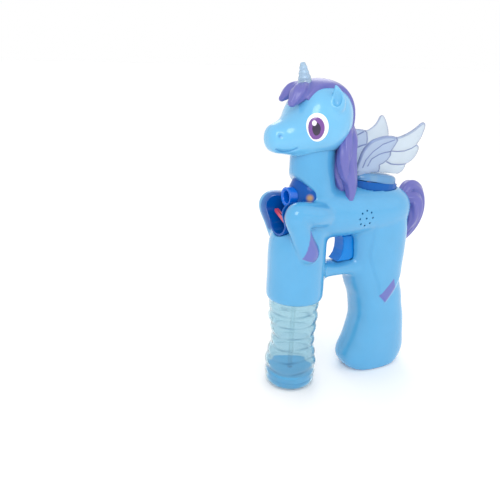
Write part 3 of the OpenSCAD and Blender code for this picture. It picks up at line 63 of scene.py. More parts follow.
BOTTLE_R = 19.2
BOTTLE_H = 76
BOTTLE_WALL = 1.2
BOTTLE_NECK_R = 13.2
BOTTLE_NECK_H = 15
COLUMN_R = 21.7
COLUMN_H = 66
COLUMN_LAP = 4
TORSO_X0 = -14
TORSO_LEN = 112
TORSO_H = 40
TORSO_W = 45
GRIP_LEN = 46
GRIP_W = 33
GUARD_H = 11.2
GUARD_W = 22
LEG_W = 16.6
NECK_X = 8.4
NECK_W = 29
HEAD_BACK = 35.6
HEAD_LEN = 65
HEAD_H = 50
HEAD_W = 46
HEAD_RISE = 67
HORN_H = 17
HORN_R = 5.2
SADDLE_LEN = 41
SADDLE_W = 25
SADDLE_T = 6.4
WING_LEAN = 25
COLUMN_Z0 = BOTTLE_H - COLUMN_LAP
TORSO_Z = COLUMN_Z0 + COLUMN_H
HEAD_Z = TORSO_Z + HEAD_RISE
HEAD_X0 = HEAD_BACK - HEAD_LEN

# Middle of the saddle's base, and its tilt in degrees
SADDLE_X = 63.06
SADDLE_Z = 158.2
SADDLE_TILT = 8

# Shape numbers of the ovals: 2 is an ellipse, more is squarer
ROUND_N = 2.2
COLUMN_N = 2.0
GRIP_N = 2.7


# Mesh helpers

CAP_ANGLES = (20, 40, 60, 80)
RING_STEP = 1e-4
LEAST_HALF = 0.2
HALF_GAP = 0.06
FILL_SOFT = 0.5


def show(name, mesh):
    obj = bpy.data.objects.new(name, mesh)
    scene.collection.objects.link(obj)
    return obj


def drop(obj):
    mesh = obj.data
    bpy.data.objects.remove(obj)
    bpy.data.meshes.remove(mesh)


def copy(obj, name):
    return show(name, obj.data.copy())


def face_outward(mesh, weld=False):
    """Turns the faces outward, and first joins vertices at one place if asked."""
    bm = bmesh.new()
    bm.from_mesh(mesh)
    if weld:
        bmesh.ops.remove_doubles(bm, verts=bm.verts, dist=WELD)
    bmesh.ops.recalc_face_normals(bm, faces=bm.faces)
    bm.to_mesh(mesh)
    bm.free()


def make(name, verts, faces):
    mesh = bpy.data.meshes.new(name)
    mesh.from_pydata([(v[0] * MM, v[1] * MM, v[2] * MM) for v in verts], [], faces)
    face_outward(mesh)
    return show(name, mesh)


def skin(name, rings):
    """A closed skin over rings of equally many points."""
    n = len(rings[0])
    faces = []
    for i in range(len(rings) - 1):
        for k in range(n):
            a, b = i * n + k, i * n + (k + 1) % n
            faces.append((a, b, b + n, a + n))
    faces.append(tuple(reversed(range(n))))
    faces.append(tuple(range((len(rings) - 1) * n, len(rings) * n)))
    return make(name, [p for r in rings for p in r], faces)


def spline(rows, steps):
    """Rows blended by a centripetal curve that passes through each of them."""
    p = [np.array(r, float) for r in rows]
    p = [2 * p[0] - p[1]] + p + [2 * p[-1] - p[-2]]
    out = []
    for i in range(1, len(p) - 2):
        a, b, c, d = p[i - 1:i + 3]
        t = [0.0]
        for u, v in ((a, b), (b, c), (c, d)):
            t.append(t[-1] + max(np.linalg.norm(v - u), 1e-6) ** 0.5)
        for s in np.linspace(t[1], t[2], steps, endpoint=False):
            ab = a + (b - a) * (s - t[0]) / (t[1] - t[0])
            bc = b + (c - b) * (s - t[1]) / (t[2] - t[1])
            cd = c + (d - c) * (s - t[2]) / (t[3] - t[2])
            abc = ab + (bc - ab) * (s - t[0]) / (t[2] - t[0])
            bcd = bc + (cd - bc) * (s - t[1]) / (t[3] - t[1])
            out.append(abc + (bcd - abc) * (s - t[1]) / (t[2] - t[1]))
    out.append(p[-2])
    return out


def oval(a, b, n, count=72):
    out = []
    for i in range(count):
        t = 2 * math.pi * i / count
        c, s = math.cos(t), math.sin(t)
        out.append((a * math.copysign(abs(c) ** (2 / n), c), b * math.copysign(abs(s) ** (2 / n), s)))
    return out


def circle(x, z, r, count):
    turns = [2 * math.pi * k / count for k in range(count)]
    return [(x + r * math.cos(a), z + r * math.sin(a)) for a in turns]


def loft(name, rows, n, axis, inset=0.0, steps=5):
    """Rows of place, offset and two half sizes, along X or Z."""
    low, high = rows[0][0] + inset, rows[-1][0] - inset
    rings = []
    for s, off, a, b in spline(rows, steps):
        s = min(max(s, low), high) + RING_STEP * len(rings) * (inset != 0)
        a, b = max(a - inset, LEAST_HALF), max(b - inset, LEAST_HALF)
        if axis == "x":
            rings.append([(s, p, off + q) for p, q in oval(b, a, n)])
        else:
            rings.append([(off + p, q, s) for p, q in oval(a, b, n)])
    return skin(name, rings)


def sweep(name, points, radii, steps, sides, ridge=0.0, strands=0, twist=0.0):
    """A round-ended tube through the points, with strand ridges for hair."""
    rows = spline([list(p) + [r] for p, r in zip(points, radii)], steps)
    path = [Vector(r[:3]) for r in rows]
    rad = [float(r[3]) for r in rows]
    last = len(path) - 1
    side = None
    frames = []
    for i, p in enumerate(path):
        along = (path[min(i + 1, last)] - path[max(i - 1, 0)]).normalized()
        if side is None:
            side = along.orthogonal().normalized()
            if abs(along.y) < 0.9:
                side = (Vector((0, 1, 0)) - along * along.y).normalized()
        side = (side - along * side.dot(along)).normalized()
        frames.append((p, along, side.copy(), along.cross(side)))

    def ring(f, r, push, t):
        p, along, u, v = f
        out = []
        for k in range(sides):
            a = 2 * math.pi * k / sides
            g = r * (1 + ridge * math.cos(strands * (a + twist * t)))
            out.append(tuple(p + along * push + u * (g * math.cos(a)) + v * (g * math.sin(a))))
        return out

    caps = [(math.cos(math.radians(q)), math.sin(math.radians(q))) for q in CAP_ANGLES]
    rings = [ring(frames[0], rad[0] * c, -rad[0] * s, 0) for c, s in reversed(caps)]
    rings += [ring(f, rad[i], 0, i / last) for i, f in enumerate(frames)]
    rings += [ring(frames[-1], rad[-1] * c, rad[-1] * s, 1) for c, s in caps]
    return skin(name, rings)


def prism(name, flat, axis, low, high):
    """A flat outline pushed along an axis: (x, z) along y, (y, z) along x, (x, y) along z."""
    put = {"y": lambda p, h: (p[0], h, p[1]),
           "x": lambda p, h: (h, p[0], p[1]),
           "z": lambda p, h: (p[0], p[1], h)}[axis]
    return skin(name, [[put(p, h) for p in flat] for h in (low, high)])


def box(name, low, high):
    (x0, y0, z0), (x1, y1, z1) = low, high
    return prism(name, [(x0, y0), (x1, y0), (x1, y1), (x0, y1)], "z", z0, z1)


def oval_block(name, x, a, b, n, low, high):
    return prism(name, [(x + p, q) for p, q in oval(a, b, n)], "z", low, high)


def lathe(name, profile, place, count):
    """A closed outline of radius and height, turned about Z and put in its place."""
    verts, faces = [], []
    n = len(profile)
    for k in range(count):
        a = 2 * math.pi * k / count
        verts += [tuple(place @ Vector((r * math.cos(a), r * math.sin(a), z))) for r, z in profile]
    for k in range(count):
        m = (k + 1) % count
        for i in range(n):
            j = (i + 1) % n
            faces.append((k * n + i, m * n + i, m * n + j, k * n + j))
    obj = make(name, verts, faces)
    face_outward(obj.data, weld=True)
    return obj


def on_side(points, side):
    return [(x, side * y, z) for x, y, z in points]


def moved(at, angle, axis):
    """The transform of a finished mesh: a turn in degrees about an axis, then a move in millimetres."""
    return Matrix.Translation([v * MM for v in at]) @ Matrix.Rotation(math.radians(angle), 4, axis)


def join(name, parts):
    bm = bmesh.new()
    for p in parts:
        bm.from_mesh(p.data)
    mesh = bpy.data.meshes.new(name)
    bm.to_mesh(mesh)
    bm.free()
    for p in parts:
        drop(p)
    return show(name, mesh)


def bake(obj):
    bpy.context.view_layer.update()
    graph = bpy.context.evaluated_depsgraph_get()
    mesh = bpy.data.meshes.new_from_object(obj.evaluated_get(graph))
    obj.modifiers.clear()
    old = obj.data
    obj.data = mesh
    bpy.data.meshes.remove(old)


def add_smooth(obj, steps, group=""):
    m = obj.modifiers.new("smooth", "SMOOTH")
    m.factor = 0.5
    m.iterations = steps
    m.vertex_group = group


def remesh(obj, size, smooth=0):
    m = obj.modifiers.new("voxel", "REMESH")
    m.mode = "VOXEL"
    m.voxel_size = size * MM
    if smooth:
        add_smooth(obj, smooth)
    bake(obj)
    return obj


def cut(obj, cutter, how="DIFFERENCE"):
    m = obj.modifiers.new("cut", "BOOLEAN")
    m.operation = how
    m.solver = "MANIFOLD"
    m.object = cutter
    bake(obj)
    drop(cutter)
    return obj


def halves(obj):
    left, right = copy(obj, obj.name + "_l"), copy(obj, obj.name + "_r")
    drop(obj)
    cut(left, box("keep_left", (-FAR, -FAR, -FAR), (2 * FAR, -HALF_GAP, 3 * FAR)), "INTERSECT")
    cut(right, box("keep_right", (-FAR, HALF_GAP, -FAR), (2 * FAR, FAR, 3 * FAR)), "INTERSECT")
    return left, right


def places(obj):
    co = np.empty(len(obj.data.vertices) * 3)
    obj.data.vertices.foreach_get("co", co)
    return co.reshape(-1, 3) / MM


def put_places(obj, co):
    obj.data.vertices.foreach_set("co", (co * MM).ravel())
    obj.data.update()


def normals(obj):
    nor = np.empty(len(obj.data.vertices) * 3)
    obj.data.vertices.foreach_get("normal", nor)
    return nor.reshape(-1, 3)


def sculpt(obj, depth):
    """Moves each vertex along its normal by depth(places, normals)."""
    co, nor = places(obj), normals(obj)
    put_places(obj, co + nor * depth(co, nor)[:, None])


def paint(obj, name, values):
    a = obj.data.attributes.new(name, "FLOAT", "POINT")
    a.data.foreach_set("value", np.asarray(values, np.float32))


def ease(v, low, high):
    """Rises softly from 0 at low to 1 at high."""
    t = np.clip((v - low) / (high - low), 0, 1)
    return t * t * (3 - 2 * t)


def off_line(p, q, points):
    """Distance in the plane from (p, q) to a line of points."""
    best = np.full(len(p), 1e9)
    for (x0, z0), (x1, z1) in zip(points[:-1], points[1:]):
        dx, dz = x1 - x0, z1 - z0
        t = np.clip(((p - x0) * dx + (q - z0) * dz) / (dx * dx + dz * dz), 0, 1)
        best = np.minimum(best, np.hypot(p - x0 - t * dx, q - z0 - t * dz))
    return best


def inside(p, q, edge):
    """Which points lie in a closed outline."""
    hit = np.zeros(len(p), bool)
    for (x0, y0), (x1, y1) in zip(edge, edge[1:] + edge[:1]):
        if y0 != y1:
            hit ^= ((y0 > q) != (y1 > q)) & (p < (x1 - x0) * (q - y0) / (y1 - y0) + x0)
    return hit


def filled(p, q, edge):
    """One inside a closed outline, falling to zero just outside it."""
    return np.maximum(inside(p, q, edge), 1 - ease(off_line(p, q, edge + edge[:1]), 0.0, FILL_SOFT))


def finish(obj, material, body, replaced=(), angle=40):
    """Gives a piece its material and smooth faces, its body and the nodes that it replaces."""
    obj.data.materials.clear()
    obj.data.materials.append(material)
    obj.data.polygons.foreach_set("use_smooth", [True] * len(obj.data.polygons))
    obj.data.set_sharp_from_angle(angle=math.radians(angle))
    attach(obj, body)
    if replaced:
        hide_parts(*replaced)


# Materials

GLOSS_SPREAD = 0.06
GLOSS_LEAST = 0.02
GRAIN_SCALE = 900.0
GRAIN_DEPTH = 0.2
COAT_ROUGH = 0.12
LAMP_CORE_SHARE = 0.2


def tone(r, g, b):
    """A display colour of 0 to 255 as linear light."""
    linear = [((c / 255 + 0.055) / 1.055) ** 2.4 if c > 10 else c / 255 / 12.92 for c in (r, g, b)]
    return tuple(linear) + (1.0,)


def add_node(tree, kind, values):
    node = tree.nodes.new(kind)
    for key, value in values.items():
        node.inputs[key].default_value = value
    return node


def mix_colours(tree, factor, above):
    mix = tree.nodes.new("ShaderNodeMix")
    mix.data_type = "RGBA"
    mix.inputs["B"].default_value = above
    tree.links.new(factor, mix.inputs["Factor"])
    return mix


def drifting(tree, where, color, drift, size):
    """The colour, a little darker and lighter from place to place."""
    slow = add_node(tree, "ShaderNodeTexNoise", {"Scale": size, "Detail": 3.0})
    tree.links.new(where, slow.inputs["Vector"])
    lighter = tuple(min(c * (1 + drift), 1.0) for c in color[:3]) + (1.0,)
    mix = mix_colours(tree, slow.outputs["Fac"], lighter)
    mix.inputs["A"].default_value = tuple(c * (1 - drift) for c in color[:3]) + (1.0,)
    return mix.outputs["Result"]


def laid_over(tree, below, factor, above):
    mix = mix_colours(tree, factor, above)
    tree.links.new(below, mix.inputs["A"])
    return mix.outputs["Result"]


def nearness(tree, where, place, radius):
    """One near a place, falling to zero at a radius round it."""
    away = tree.nodes.new("ShaderNodeVectorMath")
    away.operation = "DISTANCE"
    away.inputs[1].default_value = [v * MM for v in place]
    tree.links.new(where, away.inputs[0])
    fall = add_node(tree, "ShaderNodeMapRange", {
        "From Min": LAMP_CORE_SHARE * radius * MM, "From Max": radius * MM, "To Min": 1.0, "To Max": 0.0})
    fall.interpolation_type = "SMOOTHSTEP"
    tree.links.new(away.outputs["Value"], fall.inputs["Value"])
    return fall.outputs["Result"]


def add_grain(tree, where, base, rough, grain):
    """A fine grain in the gloss and in the surface."""
    fine = add_node(tree, "ShaderNodeTexNoise", {"Scale": GRAIN_SCALE, "Detail": 2.0})
    tree.links.new(where, fine.inputs["Vector"])
    span = add_node(tree, "ShaderNodeMapRange", {
        "To Min": max(rough - GLOSS_SPREAD, GLOSS_LEAST), "To Max": rough + GLOSS_SPREAD})
    tree.links.new(fine.outputs["Fac"], span.inputs["Value"])
    tree.links.new(span.outputs["Result"], base.inputs["Roughness"])
    bump = add_node(tree, "ShaderNodeBump", {"Strength": grain, "Distance": GRAIN_DEPTH * MM})
    tree.links.new(fine.outputs["Fac"], bump.inputs["Height"])
    tree.links.new(bump.outputs["Normal"], base.inputs["Normal"])


def plastic(name, color, rough, coat, clear=0.0, drift=0.06, grain=0.02, size=60.0, marks=(), metal=0.0,
            glow=0.0, ior=1.46, lamp=None):
    """Moulded plastic: a slow drift of colour, a fine grain in the gloss, and marks as (attribute, colour).

    A lamp behind the plastic shows through as (place, radius, colour).
    """
    m = bpy.data.materials.new(name)
    m.use_nodes = True
    tree = m.node_tree
    base = tree.nodes["Principled BSDF"]
    where = tree.nodes.new("ShaderNodeTexCoord").outputs["Object"]
    shade = drifting(tree, where, color, drift, size)
    for attribute, other in marks:
        read = tree.nodes.new("ShaderNodeAttribute")
        read.attribute_name = attribute
        shade = laid_over(tree, shade, read.outputs["Fac"], other)
    if lamp:
        place, radius, shine = lamp
        shade = laid_over(tree, shade, nearness(tree, where, place, radius), shine)
    tree.links.new(shade, base.inputs["Base Color"])
    add_grain(tree, where, base, rough, grain)
    base.inputs["Coat Weight"].default_value = coat
    base.inputs["Coat Roughness"].default_value = COAT_ROUGH
    base.inputs["Transmission Weight"].default_value = clear
    base.inputs["IOR"].default_value = ior
    base.inputs["Metallic"].default_value = metal
    if glow:
        base.inputs["Emission Color"].default_value = color
        base.inputs["Emission Strength"].default_value = glow
    return m


# Middle and reach of the light that shows through the front housing
LIGHT_SPOT = (-0.2, -13.2, 152.2)
LIGHT_SPOT_R = 3.6

# The body's blue with painted hoof bands and the dark-blue lining, whose paler outer edge is painted light
body_blue = plastic("body_blue", tone(80, 163, 212), rough=0.22, coat=0.6, grain=0.004,
                    marks=[("stripe", tone(94, 104, 181)), ("lining", tone(0, 78, 160))])
# The head's blue is made lighter than the body's as painted light, for the brighter light that falls on the
# head
head_blue_lit = plastic("head_blue_lit", tone(106, 182, 225), rough=0.22, coat=0.6, grain=0.004,
                    # the dark mark is painted shade in the nostril's dip and the mouth's groove
                    marks=[("dark", tone(70, 140, 200))])
# The hair's violet, with painted shade laid into the valleys between strands
violet = plastic("hair_violet", tone(102, 103, 176), rough=0.34, coat=0.25, drift=0.08, grain=0.004,
                 marks=[("valley_shade", tone(74, 98, 172))])
deep_blue = plastic("deep_blue", tone(0, 82, 166), rough=0.16, coat=0.05, grain=0.0, ior=1.3,
                    lamp=(LIGHT_SPOT, LIGHT_SPOT_R, tone(190, 150, 104)))
window_blue = plastic("window_blue", tone(0, 90, 172), rough=0.16, coat=0.05, grain=0.0, ior=1.3)
ring_blue = plastic("ring_blue", tone(0, 104, 214), rough=0.22, coat=0.4, grain=0.004)
trigger_blue = plastic("trigger_blue", tone(4, 128, 212), rough=0.2, coat=0.05, grain=0.004, ior=1.3)
red = plastic("wiper_red", tone(205, 72, 98), rough=0.32, coat=0.3)
# Clear wing plastic; the short feathers are tinted, and the second mark is painted shade in the feather
# grooves and along the wing's rim
pearl = plastic("clear_pearl", tone(220, 232, 242), rough=0.2, coat=0.4, clear=0.4, grain=0.0, ior=1.2,
                marks=[("covert", tone(184, 204, 234)), ("line", tone(104, 120, 176))])
horn_clear = plastic("horn_clear", tone(176, 206, 232), rough=0.18, coat=0.4, clear=0.35, grain=0.0,
                     marks=[("base", tone(84, 100, 172))])
saddle_pale = plastic("saddle_pale", tone(104, 168, 222), rough=0.18, coat=0.4, clear=0.3, grain=0.0)
# Clear bottle; the rib mark is painted shade on one flank of each rib
bottle_clear = plastic("bottle_clear", tone(206, 232, 240), rough=0.1, coat=0.2, clear=0.94, drift=0.02,
                       grain=0.0, ior=1.36, marks=[("rib", tone(70, 146, 176))])
# The solution glows a little though it is no lamp: painted light
liquid = plastic("solution_blue", tone(84, 188, 228), rough=0.05, coat=0.0, clear=0.4, grain=0.0,
                 ior=1.2, glow=0.22)
dip_clear = plastic("dip_clear", tone(244, 250, 252), rough=0.05, coat=0.0, clear=1.0, grain=0.0, ior=1.08)
milky = plastic("milky_white", tone(226, 232, 236), rough=0.42, coat=0.1)
grey = plastic("inner_grey", tone(170, 176, 182), rough=0.5, coat=0.0)
dark = plastic("dark_grey", tone(46, 50, 56), rough=0.45, coat=0.1)
steel = plastic("steel", tone(186, 188, 190), rough=0.3, coat=0.0, drift=0.04, metal=1.0)
brass = plastic("brass", tone(200, 168, 96), rough=0.32, coat=0.0, metal=1.0)
board_green = plastic("board_green", tone(38, 110, 66), rough=0.4, coat=0.3, drift=0.2)
cell_wrap = plastic("cell_wrap", tone(60, 64, 70), rough=0.3, coat=0.4)
amber = plastic("light_amber", tone(250, 196, 84), rough=0.2, coat=0.3, clear=0.3, glow=0.35)
soft_tube = plastic("soft_tube", tone(226, 230, 226), rough=0.3, coat=0.1, clear=0.4)
eye_white = plastic("eye_white", tone(244, 244, 248), rough=0.2, coat=0.5, drift=0.02)
eye_iris = plastic("eye_iris", tone(116, 70, 150), rough=0.2, coat=0.5, drift=0.2, size=400.0)
eye_dark = plastic("eye_dark", tone(40, 26, 60), rough=0.16, coat=0.6)
floor_white = plastic("floor_white", tone(250, 250, 250), rough=0.7, coat=0.0, drift=0.01, grain=0.0,
                      size=4.0, glow=0.06)


# Body: the same rows as the shells, blended, with the soft joins of a moulding

GRIP_X = 71
GRIP_TOP = TORSO_Z - 4
GUARD_X0 = 12
GUARD_RUN = GRIP_X - GUARD_X0 - 10
GUARD_Z = TORSO_Z - 46.5
NECK_RISE = HEAD_Z - 0.34 * HEAD_H - TORSO_Z

TORSO_SHARES = [
    (0, .075, .12, .12), (.03, .075, .4, .36), (.07, .07, .64, .58), (.14, .05, .86, .79),
    (.24, .02, 1, .93), (.4, 0, 1, 1), (.56, -.01, .96, 1), (.7, -.02, .95, .98), (.82, -.03, .9, .9),
    (.91, -.04, .76, .75), (.97, -.05, .5, .5), (1, -.05, .16, .18)]
COLUMN_SHARES = [
    (0, 0, .93, .93), (.018, 0, .975, .975), (.045, 0, 1, 1), (.3, 0, 1, 1), (.6, 0, 1, 1),
    (.73, .03, .97, .98), (.85, .14, .88, .91), (.97, .32, .7, .76)]
NECK_SHARES = [
    (.03, .1, .68, .64), (.28, .05, .63, .575), (.55, .01, .58, .515), (.82, 0, .565, .5),
    (1, 0, .565, .5)]
GRIP_SHARES = [
    (0, .15, .95, .94), (.015, .145, 1.08, .98), (.045, .14, 1.22, 1), (.082, .14, 1.326, 1),
    (.127, .152, 1.326, 1), (.194, .183, 1.196, 1), (.261, .2, 1.109, 1), (.336, .204, 1.022, 1),
    (.41, .165, .987, 1), (.485, .12, .996, 1), (.56, .039, 1.026, 1), (.634, 0, 1.065, 1),
    (.746, 0, 1.078, 1.04), (.858, -.022, 1.109, 1.1), (.97, -.043, 1.13, 1.16)]
GUARD_SHARES = [
    (0, .24, 2, 1.1), (.17, .14, 1.45, 1.05), (.3, .04, 1.1, 1), (.48, 0, 1, 1), (.65, .04, 1.22, 1.04),
    (.82, .12, 1.9, 1.12), (1, .14, 2.3, 1.16)]
LEG_SHARES = [
    (.18, .2, -.02), (.009, .389, .075), (-.125, .422, .112), (-.085, .431, -.25), (-.027, .433, -.6)]
LEG_R_SHARES = (1.25, 1.1, 1, .92, 1)

TORSO = [[TORSO_X0 + a * TORSO_LEN, TORSO_Z + b * TORSO_H, c * TORSO_H / 2, d * TORSO_W / 2]
         for a, b, c, d in TORSO_SHARES]
COLUMN = [[COLUMN_Z0 + a * COLUMN_H, b * COLUMN_R, c * COLUMN_R, d * COLUMN_R]
          for a, b, c, d in COLUMN_SHARES]
NECK = [[TORSO_Z + a * NECK_RISE, NECK_X + b * NECK_W, c * NECK_W, d * NECK_W]
        for a, b, c, d in NECK_SHARES]
GRIP = [[a * GRIP_TOP, GRIP_X + b * GRIP_LEN, c * GRIP_LEN / 2, d * GRIP_W / 2]
        for a, b, c, d in GRIP_SHARES]
GUARD = [[GUARD_X0 + a * GUARD_RUN, GUARD_Z + b * GUARD_H, c * GUARD_H / 2, d * GUARD_W / 2]
         for a, b, c, d in GUARD_SHARES]
CORE = [("torso", TORSO, ROUND_N, "x"), ("column", COLUMN, COLUMN_N, "z"), ("neck", NECK, ROUND_N, "z"),
        ("grip", GRIP, GRIP_N, "z"), ("guard", GUARD, ROUND_N, "x")]
LEG = [(a * TORSO_LEN, b * TORSO_W, TORSO_Z + c * TORSO_H) for a, b, c in LEG_SHARES]
LEG_R = [LEG_W / 2 * s for s in LEG_R_SHARES]

BODY_WALL = 2.4
BODY_VOXEL = 0.9
BODY_FINE_VOXEL = 0.8
CAVITY_VOXEL = 1.3

# Opening above the nozzle, seen from the side: its back edge, its floor and its upper line
NOTCH_X = 3
NOTCH_LOW = TORSO_Z + 8
NOTCH_TOP = [(NOTCH_X, TORSO_Z + 18), (-12, TORSO_Z + 33), (-100, TORSO_Z + 27)]

# Cuts for what seats in the body
CHEST_LOW, CHEST_HIGH = (-60, -FAR, 140), (5, FAR, 178)
TROUGH_R = 12.9
TROUGH_Z = 135.7
TROUGH_X0 = -60
TROUGH_TOP = 200
TROUGH_HALF = 40
TROUGH_SIDES = 40
SLOT_LOW, SLOT_HIGH = (27, -6.8, 97.7), (60.8, 6.8, 118.3)
BOTTLE_HOLE_R = 19.55
BOTTLE_HOLE_Z = (60, 76.4)
WINDOW_HALF = (21.5, 13.5)
WINDOW_Z = (150, 190)
DOOR_SHARE = .88
DOOR_GAP = .2
DOOR_Z = (-5, 5.6)
NECK_HOLE_HALF = (12.5, 12.5)
NECK_HOLE_Z = (182, 200)
SPEAKER = (44, 135.5)
SPEAKER_RING_R = 5.8
SPEAKER_RING_HOLES = 8
SPEAKER_HOLE_R = 0.8
SPEAKER_HOLE_Y = (-40, -12)
SCREWS = [(-11, 105), (57, 78), (88, 76), (87, 134), (19, 161), (60, 28)]
SCREW_HOLE_R = 2.95
SCREW_HOLE_Y = (10.5, 60)

# Corners round the finger opening as x, z and reach of the fillet
CORNERS = [(21, 119, 7), (21, 98, 6), (46, 119, 5), (22, 85, 6), (44, 86, 7)]
CORNER_LEVELS = 10
CORNER_STEPS = 60

# Hind leg: the crease in front of it, the point of its hoof, and how far it stands out
CREASE = [(56.6, 124), (56.2, 114), (56.0, 104), (60.4, 91), (67, 77.6), (69.5, 66)]
CREASE_SOFT = 1.3
HOOF = (75.2, 61.4)
HOOF_SLOPE = 1.2
HOOF_SOFT = 2.5
HIP_FADE_Z = (116, 134)
HIND_FADE_Y = (6, 12)
HIND_FACING = (0.25, 0.75)
HIND_RAISE = 1.25

# Bands round the hoofs, and the dark lining on the forelegs' inner halves, made paler by painted light
# where its faces turn outward
FORE_STRIPE = [(-5.2, 131.5), (5, 131.5), (1.5, 107.5), (-9.6, 111.5)]
FORE_STRIPE_Y = (22.0, 22.6)
HIND_STRIPE = [(81.4, 80.8), (84, 72.5), HOOF, (69, 68)]
HIND_STRIPE_Y = 7
LINING_LOW = 114
LINING_SLOPE = 0.5
LINING_SOFT = 0.5
LINING_Y = 12
LINING_BACK = 2.5
LINING_STARTS = (0.06, 0.16)
LINING_LIGHT_FADE = (0.1, 0.8)
LINING_LIT_STRENGTH = 0.76


def notch(name, low, half):
    front = NOTCH_TOP[-1][0]
    return prism(name, [(front, low), (NOTCH_X, low)] + NOTCH_TOP, "y", -half, half)


def core(inset, tag):
    return [loft(name + tag, rows, n, axis, inset) for name, rows, n, axis in CORE]


def hind_leg(co, nor):
    """The hind leg's rise behind the crease, over the hoof's edge and below the hip."""
    x, y, z = co.T
    crease_x = np.interp(z, [p[1] for p in reversed(CREASE)], [p[0] for p in reversed(CREASE)])
    edge_z = HOOF[1] + HOOF_SLOPE * np.abs(x - HOOF[0])
    on = ease(x - crease_x, -CREASE_SOFT, CREASE_SOFT) * ease(z, edge_z - HOOF_SOFT, edge_z + HOOF_SOFT)
    on = on * (1 - ease(z, *HIP_FADE_Z))
    return HIND_RAISE * on * ease(np.abs(nor[:, 1]), *HIND_FACING) * ease(np.abs(y), *HIND_FADE_Y)


def round_corners(obj):
    """Smooths the corners round the finger opening into fillets."""
    x, _, z = places(obj).T
    near = np.maximum.reduce([np.exp(-((x - cx) ** 2 + (z - cz) ** 2) / 2 / r ** 2)
                              for cx, cz, r in CORNERS])
    group = obj.vertex_groups.new(name="fillet")
    for level in range(1, CORNER_LEVELS + 1):
        on = np.nonzero(np.ceil(near * CORNER_LEVELS) == level)[0]
        group.add([int(i) for i in on], level / CORNER_LEVELS, "REPLACE")
    add_smooth(obj, CORNER_STEPS, "fillet")
    bake(obj)
    obj.vertex_groups.clear()


def trough():
    """The round channel in the chest that takes the front housing's tray."""
    turns = np.linspace(math.pi, 2 * math.pi, TROUGH_SIDES)
    flat = [(TROUGH_R * math.cos(a), TROUGH_Z + TROUGH_R * math.sin(a)) for a in turns]
    flat += [(TROUGH_R, TROUGH_TOP), (-TROUGH_R, TROUGH_TOP)]
    channel = prism("trough", flat, "x", TROUGH_X0, NOTCH_X)
    return cut(channel, notch("trough_notch", 0, TROUGH_HALF), "INTERSECT")


def open_body(body):
    """Cuts the holes for the tray, trigger, bottle, window, battery door and head."""
    cut(body, trough())
    cut(body, box("trigger_slot", SLOT_LOW, SLOT_HIGH))
    cut(body, prism("bottle_hole", circle(0, 0, BOTTLE_HOLE_R, count=96), "z", *BOTTLE_HOLE_Z))
    cut(body, oval_block("window_hole", SADDLE_X, *WINDOW_HALF, ROUND_N, *WINDOW_Z))
    _, foot_x, foot_a, foot_b = GRIP[0]
    door_half = (foot_a * DOOR_SHARE + DOOR_GAP, foot_b * DOOR_SHARE + DOOR_GAP)
    cut(body, oval_block("door_hole", foot_x, *door_half, GRIP_N, *DOOR_Z))
    cut(body, oval_block("neck_hole", NECK_X, *NECK_HOLE_HALF, ROUND_N, *NECK_HOLE_Z))


def build_body():
    body = remesh(join("body", core(0.0, "_out")), BODY_VOXEL)
    cut(body, notch("notch", NOTCH_LOW, FAR))
    legs = [sweep("leg%d" % side, on_side(LEG, side), LEG_R, steps=12, sides=40) for side in (-1, 1)]
    body = remesh(join("body_with_legs", [body] + legs), BODY_VOXEL, smooth=11)
    round_corners(body)
    sculpt(body, hind_leg)
    inner = remesh(join("inner", core(BODY_WALL, "_in")), CAVITY_VOXEL, smooth=4)
    cut(inner, box("solid_chest", CHEST_LOW, CHEST_HIGH))
    cut(body, inner)
    open_body(body)
    return remesh(body, BODY_FINE_VOXEL, smooth=3)


def holes(spots, r, span):
    return join("holes", [prism("hole", circle(x, z, r, count=24), "y", *span) for x, z in spots])


def paint_stripes(obj):
    x, y, z = places(obj).T
    out = np.abs(y)
    fore = filled(x, z, FORE_STRIPE) * ease(out, *FORE_STRIPE_Y)
    hind = filled(x, z, HIND_STRIPE) * (out > HIND_STRIPE_Y)
    paint(obj, "stripe", np.maximum(fore, hind))
    inward = -np.sign(y) * normals(obj)[:, 1]
    low = LINING_LOW + LINING_SLOPE * out
    leg = ease(z, low - LINING_SOFT, low + LINING_SOFT) * (out > LINING_Y) * (x < LINING_BACK)
    # Painted light: the lining is paler where its faces turn outward
    depth = LINING_LIT_STRENGTH + (1 - LINING_LIT_STRENGTH) * ease(inward, *LINING_LIGHT_FADE)
    paint(obj, "lining", leg * ease(inward, *LINING_STARTS) * depth)


def dress_body():
    left, right = halves(build_body())
    grille = circle(*SPEAKER, SPEAKER_RING_R, SPEAKER_RING_HOLES) + [SPEAKER]
    cut(left, holes(grille, SPEAKER_HOLE_R, SPEAKER_HOLE_Y))
    cut(right, holes(SCREWS, SCREW_HOLE_R, SCREW_HOLE_Y))
    for piece, node in ((left, "body_shell_left"), (right, "body_shell_right")):
        paint_stripes(piece)
        piece.name = "dressed_" + node
        finish(piece, body_blue, "shell", (node,))


dress_body()


# Head, ears and eyes

HEAD_SHARES = [
    (0, -.245, .1, .13), (.012, -.245, .22, .26), (.045, -.245, .34, .385), (.105, -.242, .412, .447),
    (.17, -.228, .464, .5), (.24, -.192, .57, .61), (.305, -.128, .74, .76), (.38, -.06, .89, .89),
    (.47, -.015, .98, .97), (.575, 0, 1, 1), (.695, 0, .98, .98), (.815, .01, .86, .86),
    (.91, .02, .64, .65), (.97, .03, .38, .4), (1, .04, .12, .14)]
EAR_SHARES = [(.2, .391, .16), (.192, .424, .24), (.185, .441, .32), (.169, .441, .4), (.154, .43, .47)]
EAR_R_SHARES = (.9, 1, .84, .52, .2)
DISH_R_SHARES = (.5, .62, .42, .1)
EAR_WIDEST = 5.6
DISH_SHIFT = (-2.6, 3.2, 1.2)
HEAD = [[HEAD_X0 + a * HEAD_LEN, HEAD_Z + b * HEAD_H, c * HEAD_H / 2, d * HEAD_W / 2]
        for a, b, c, d in HEAD_SHARES]
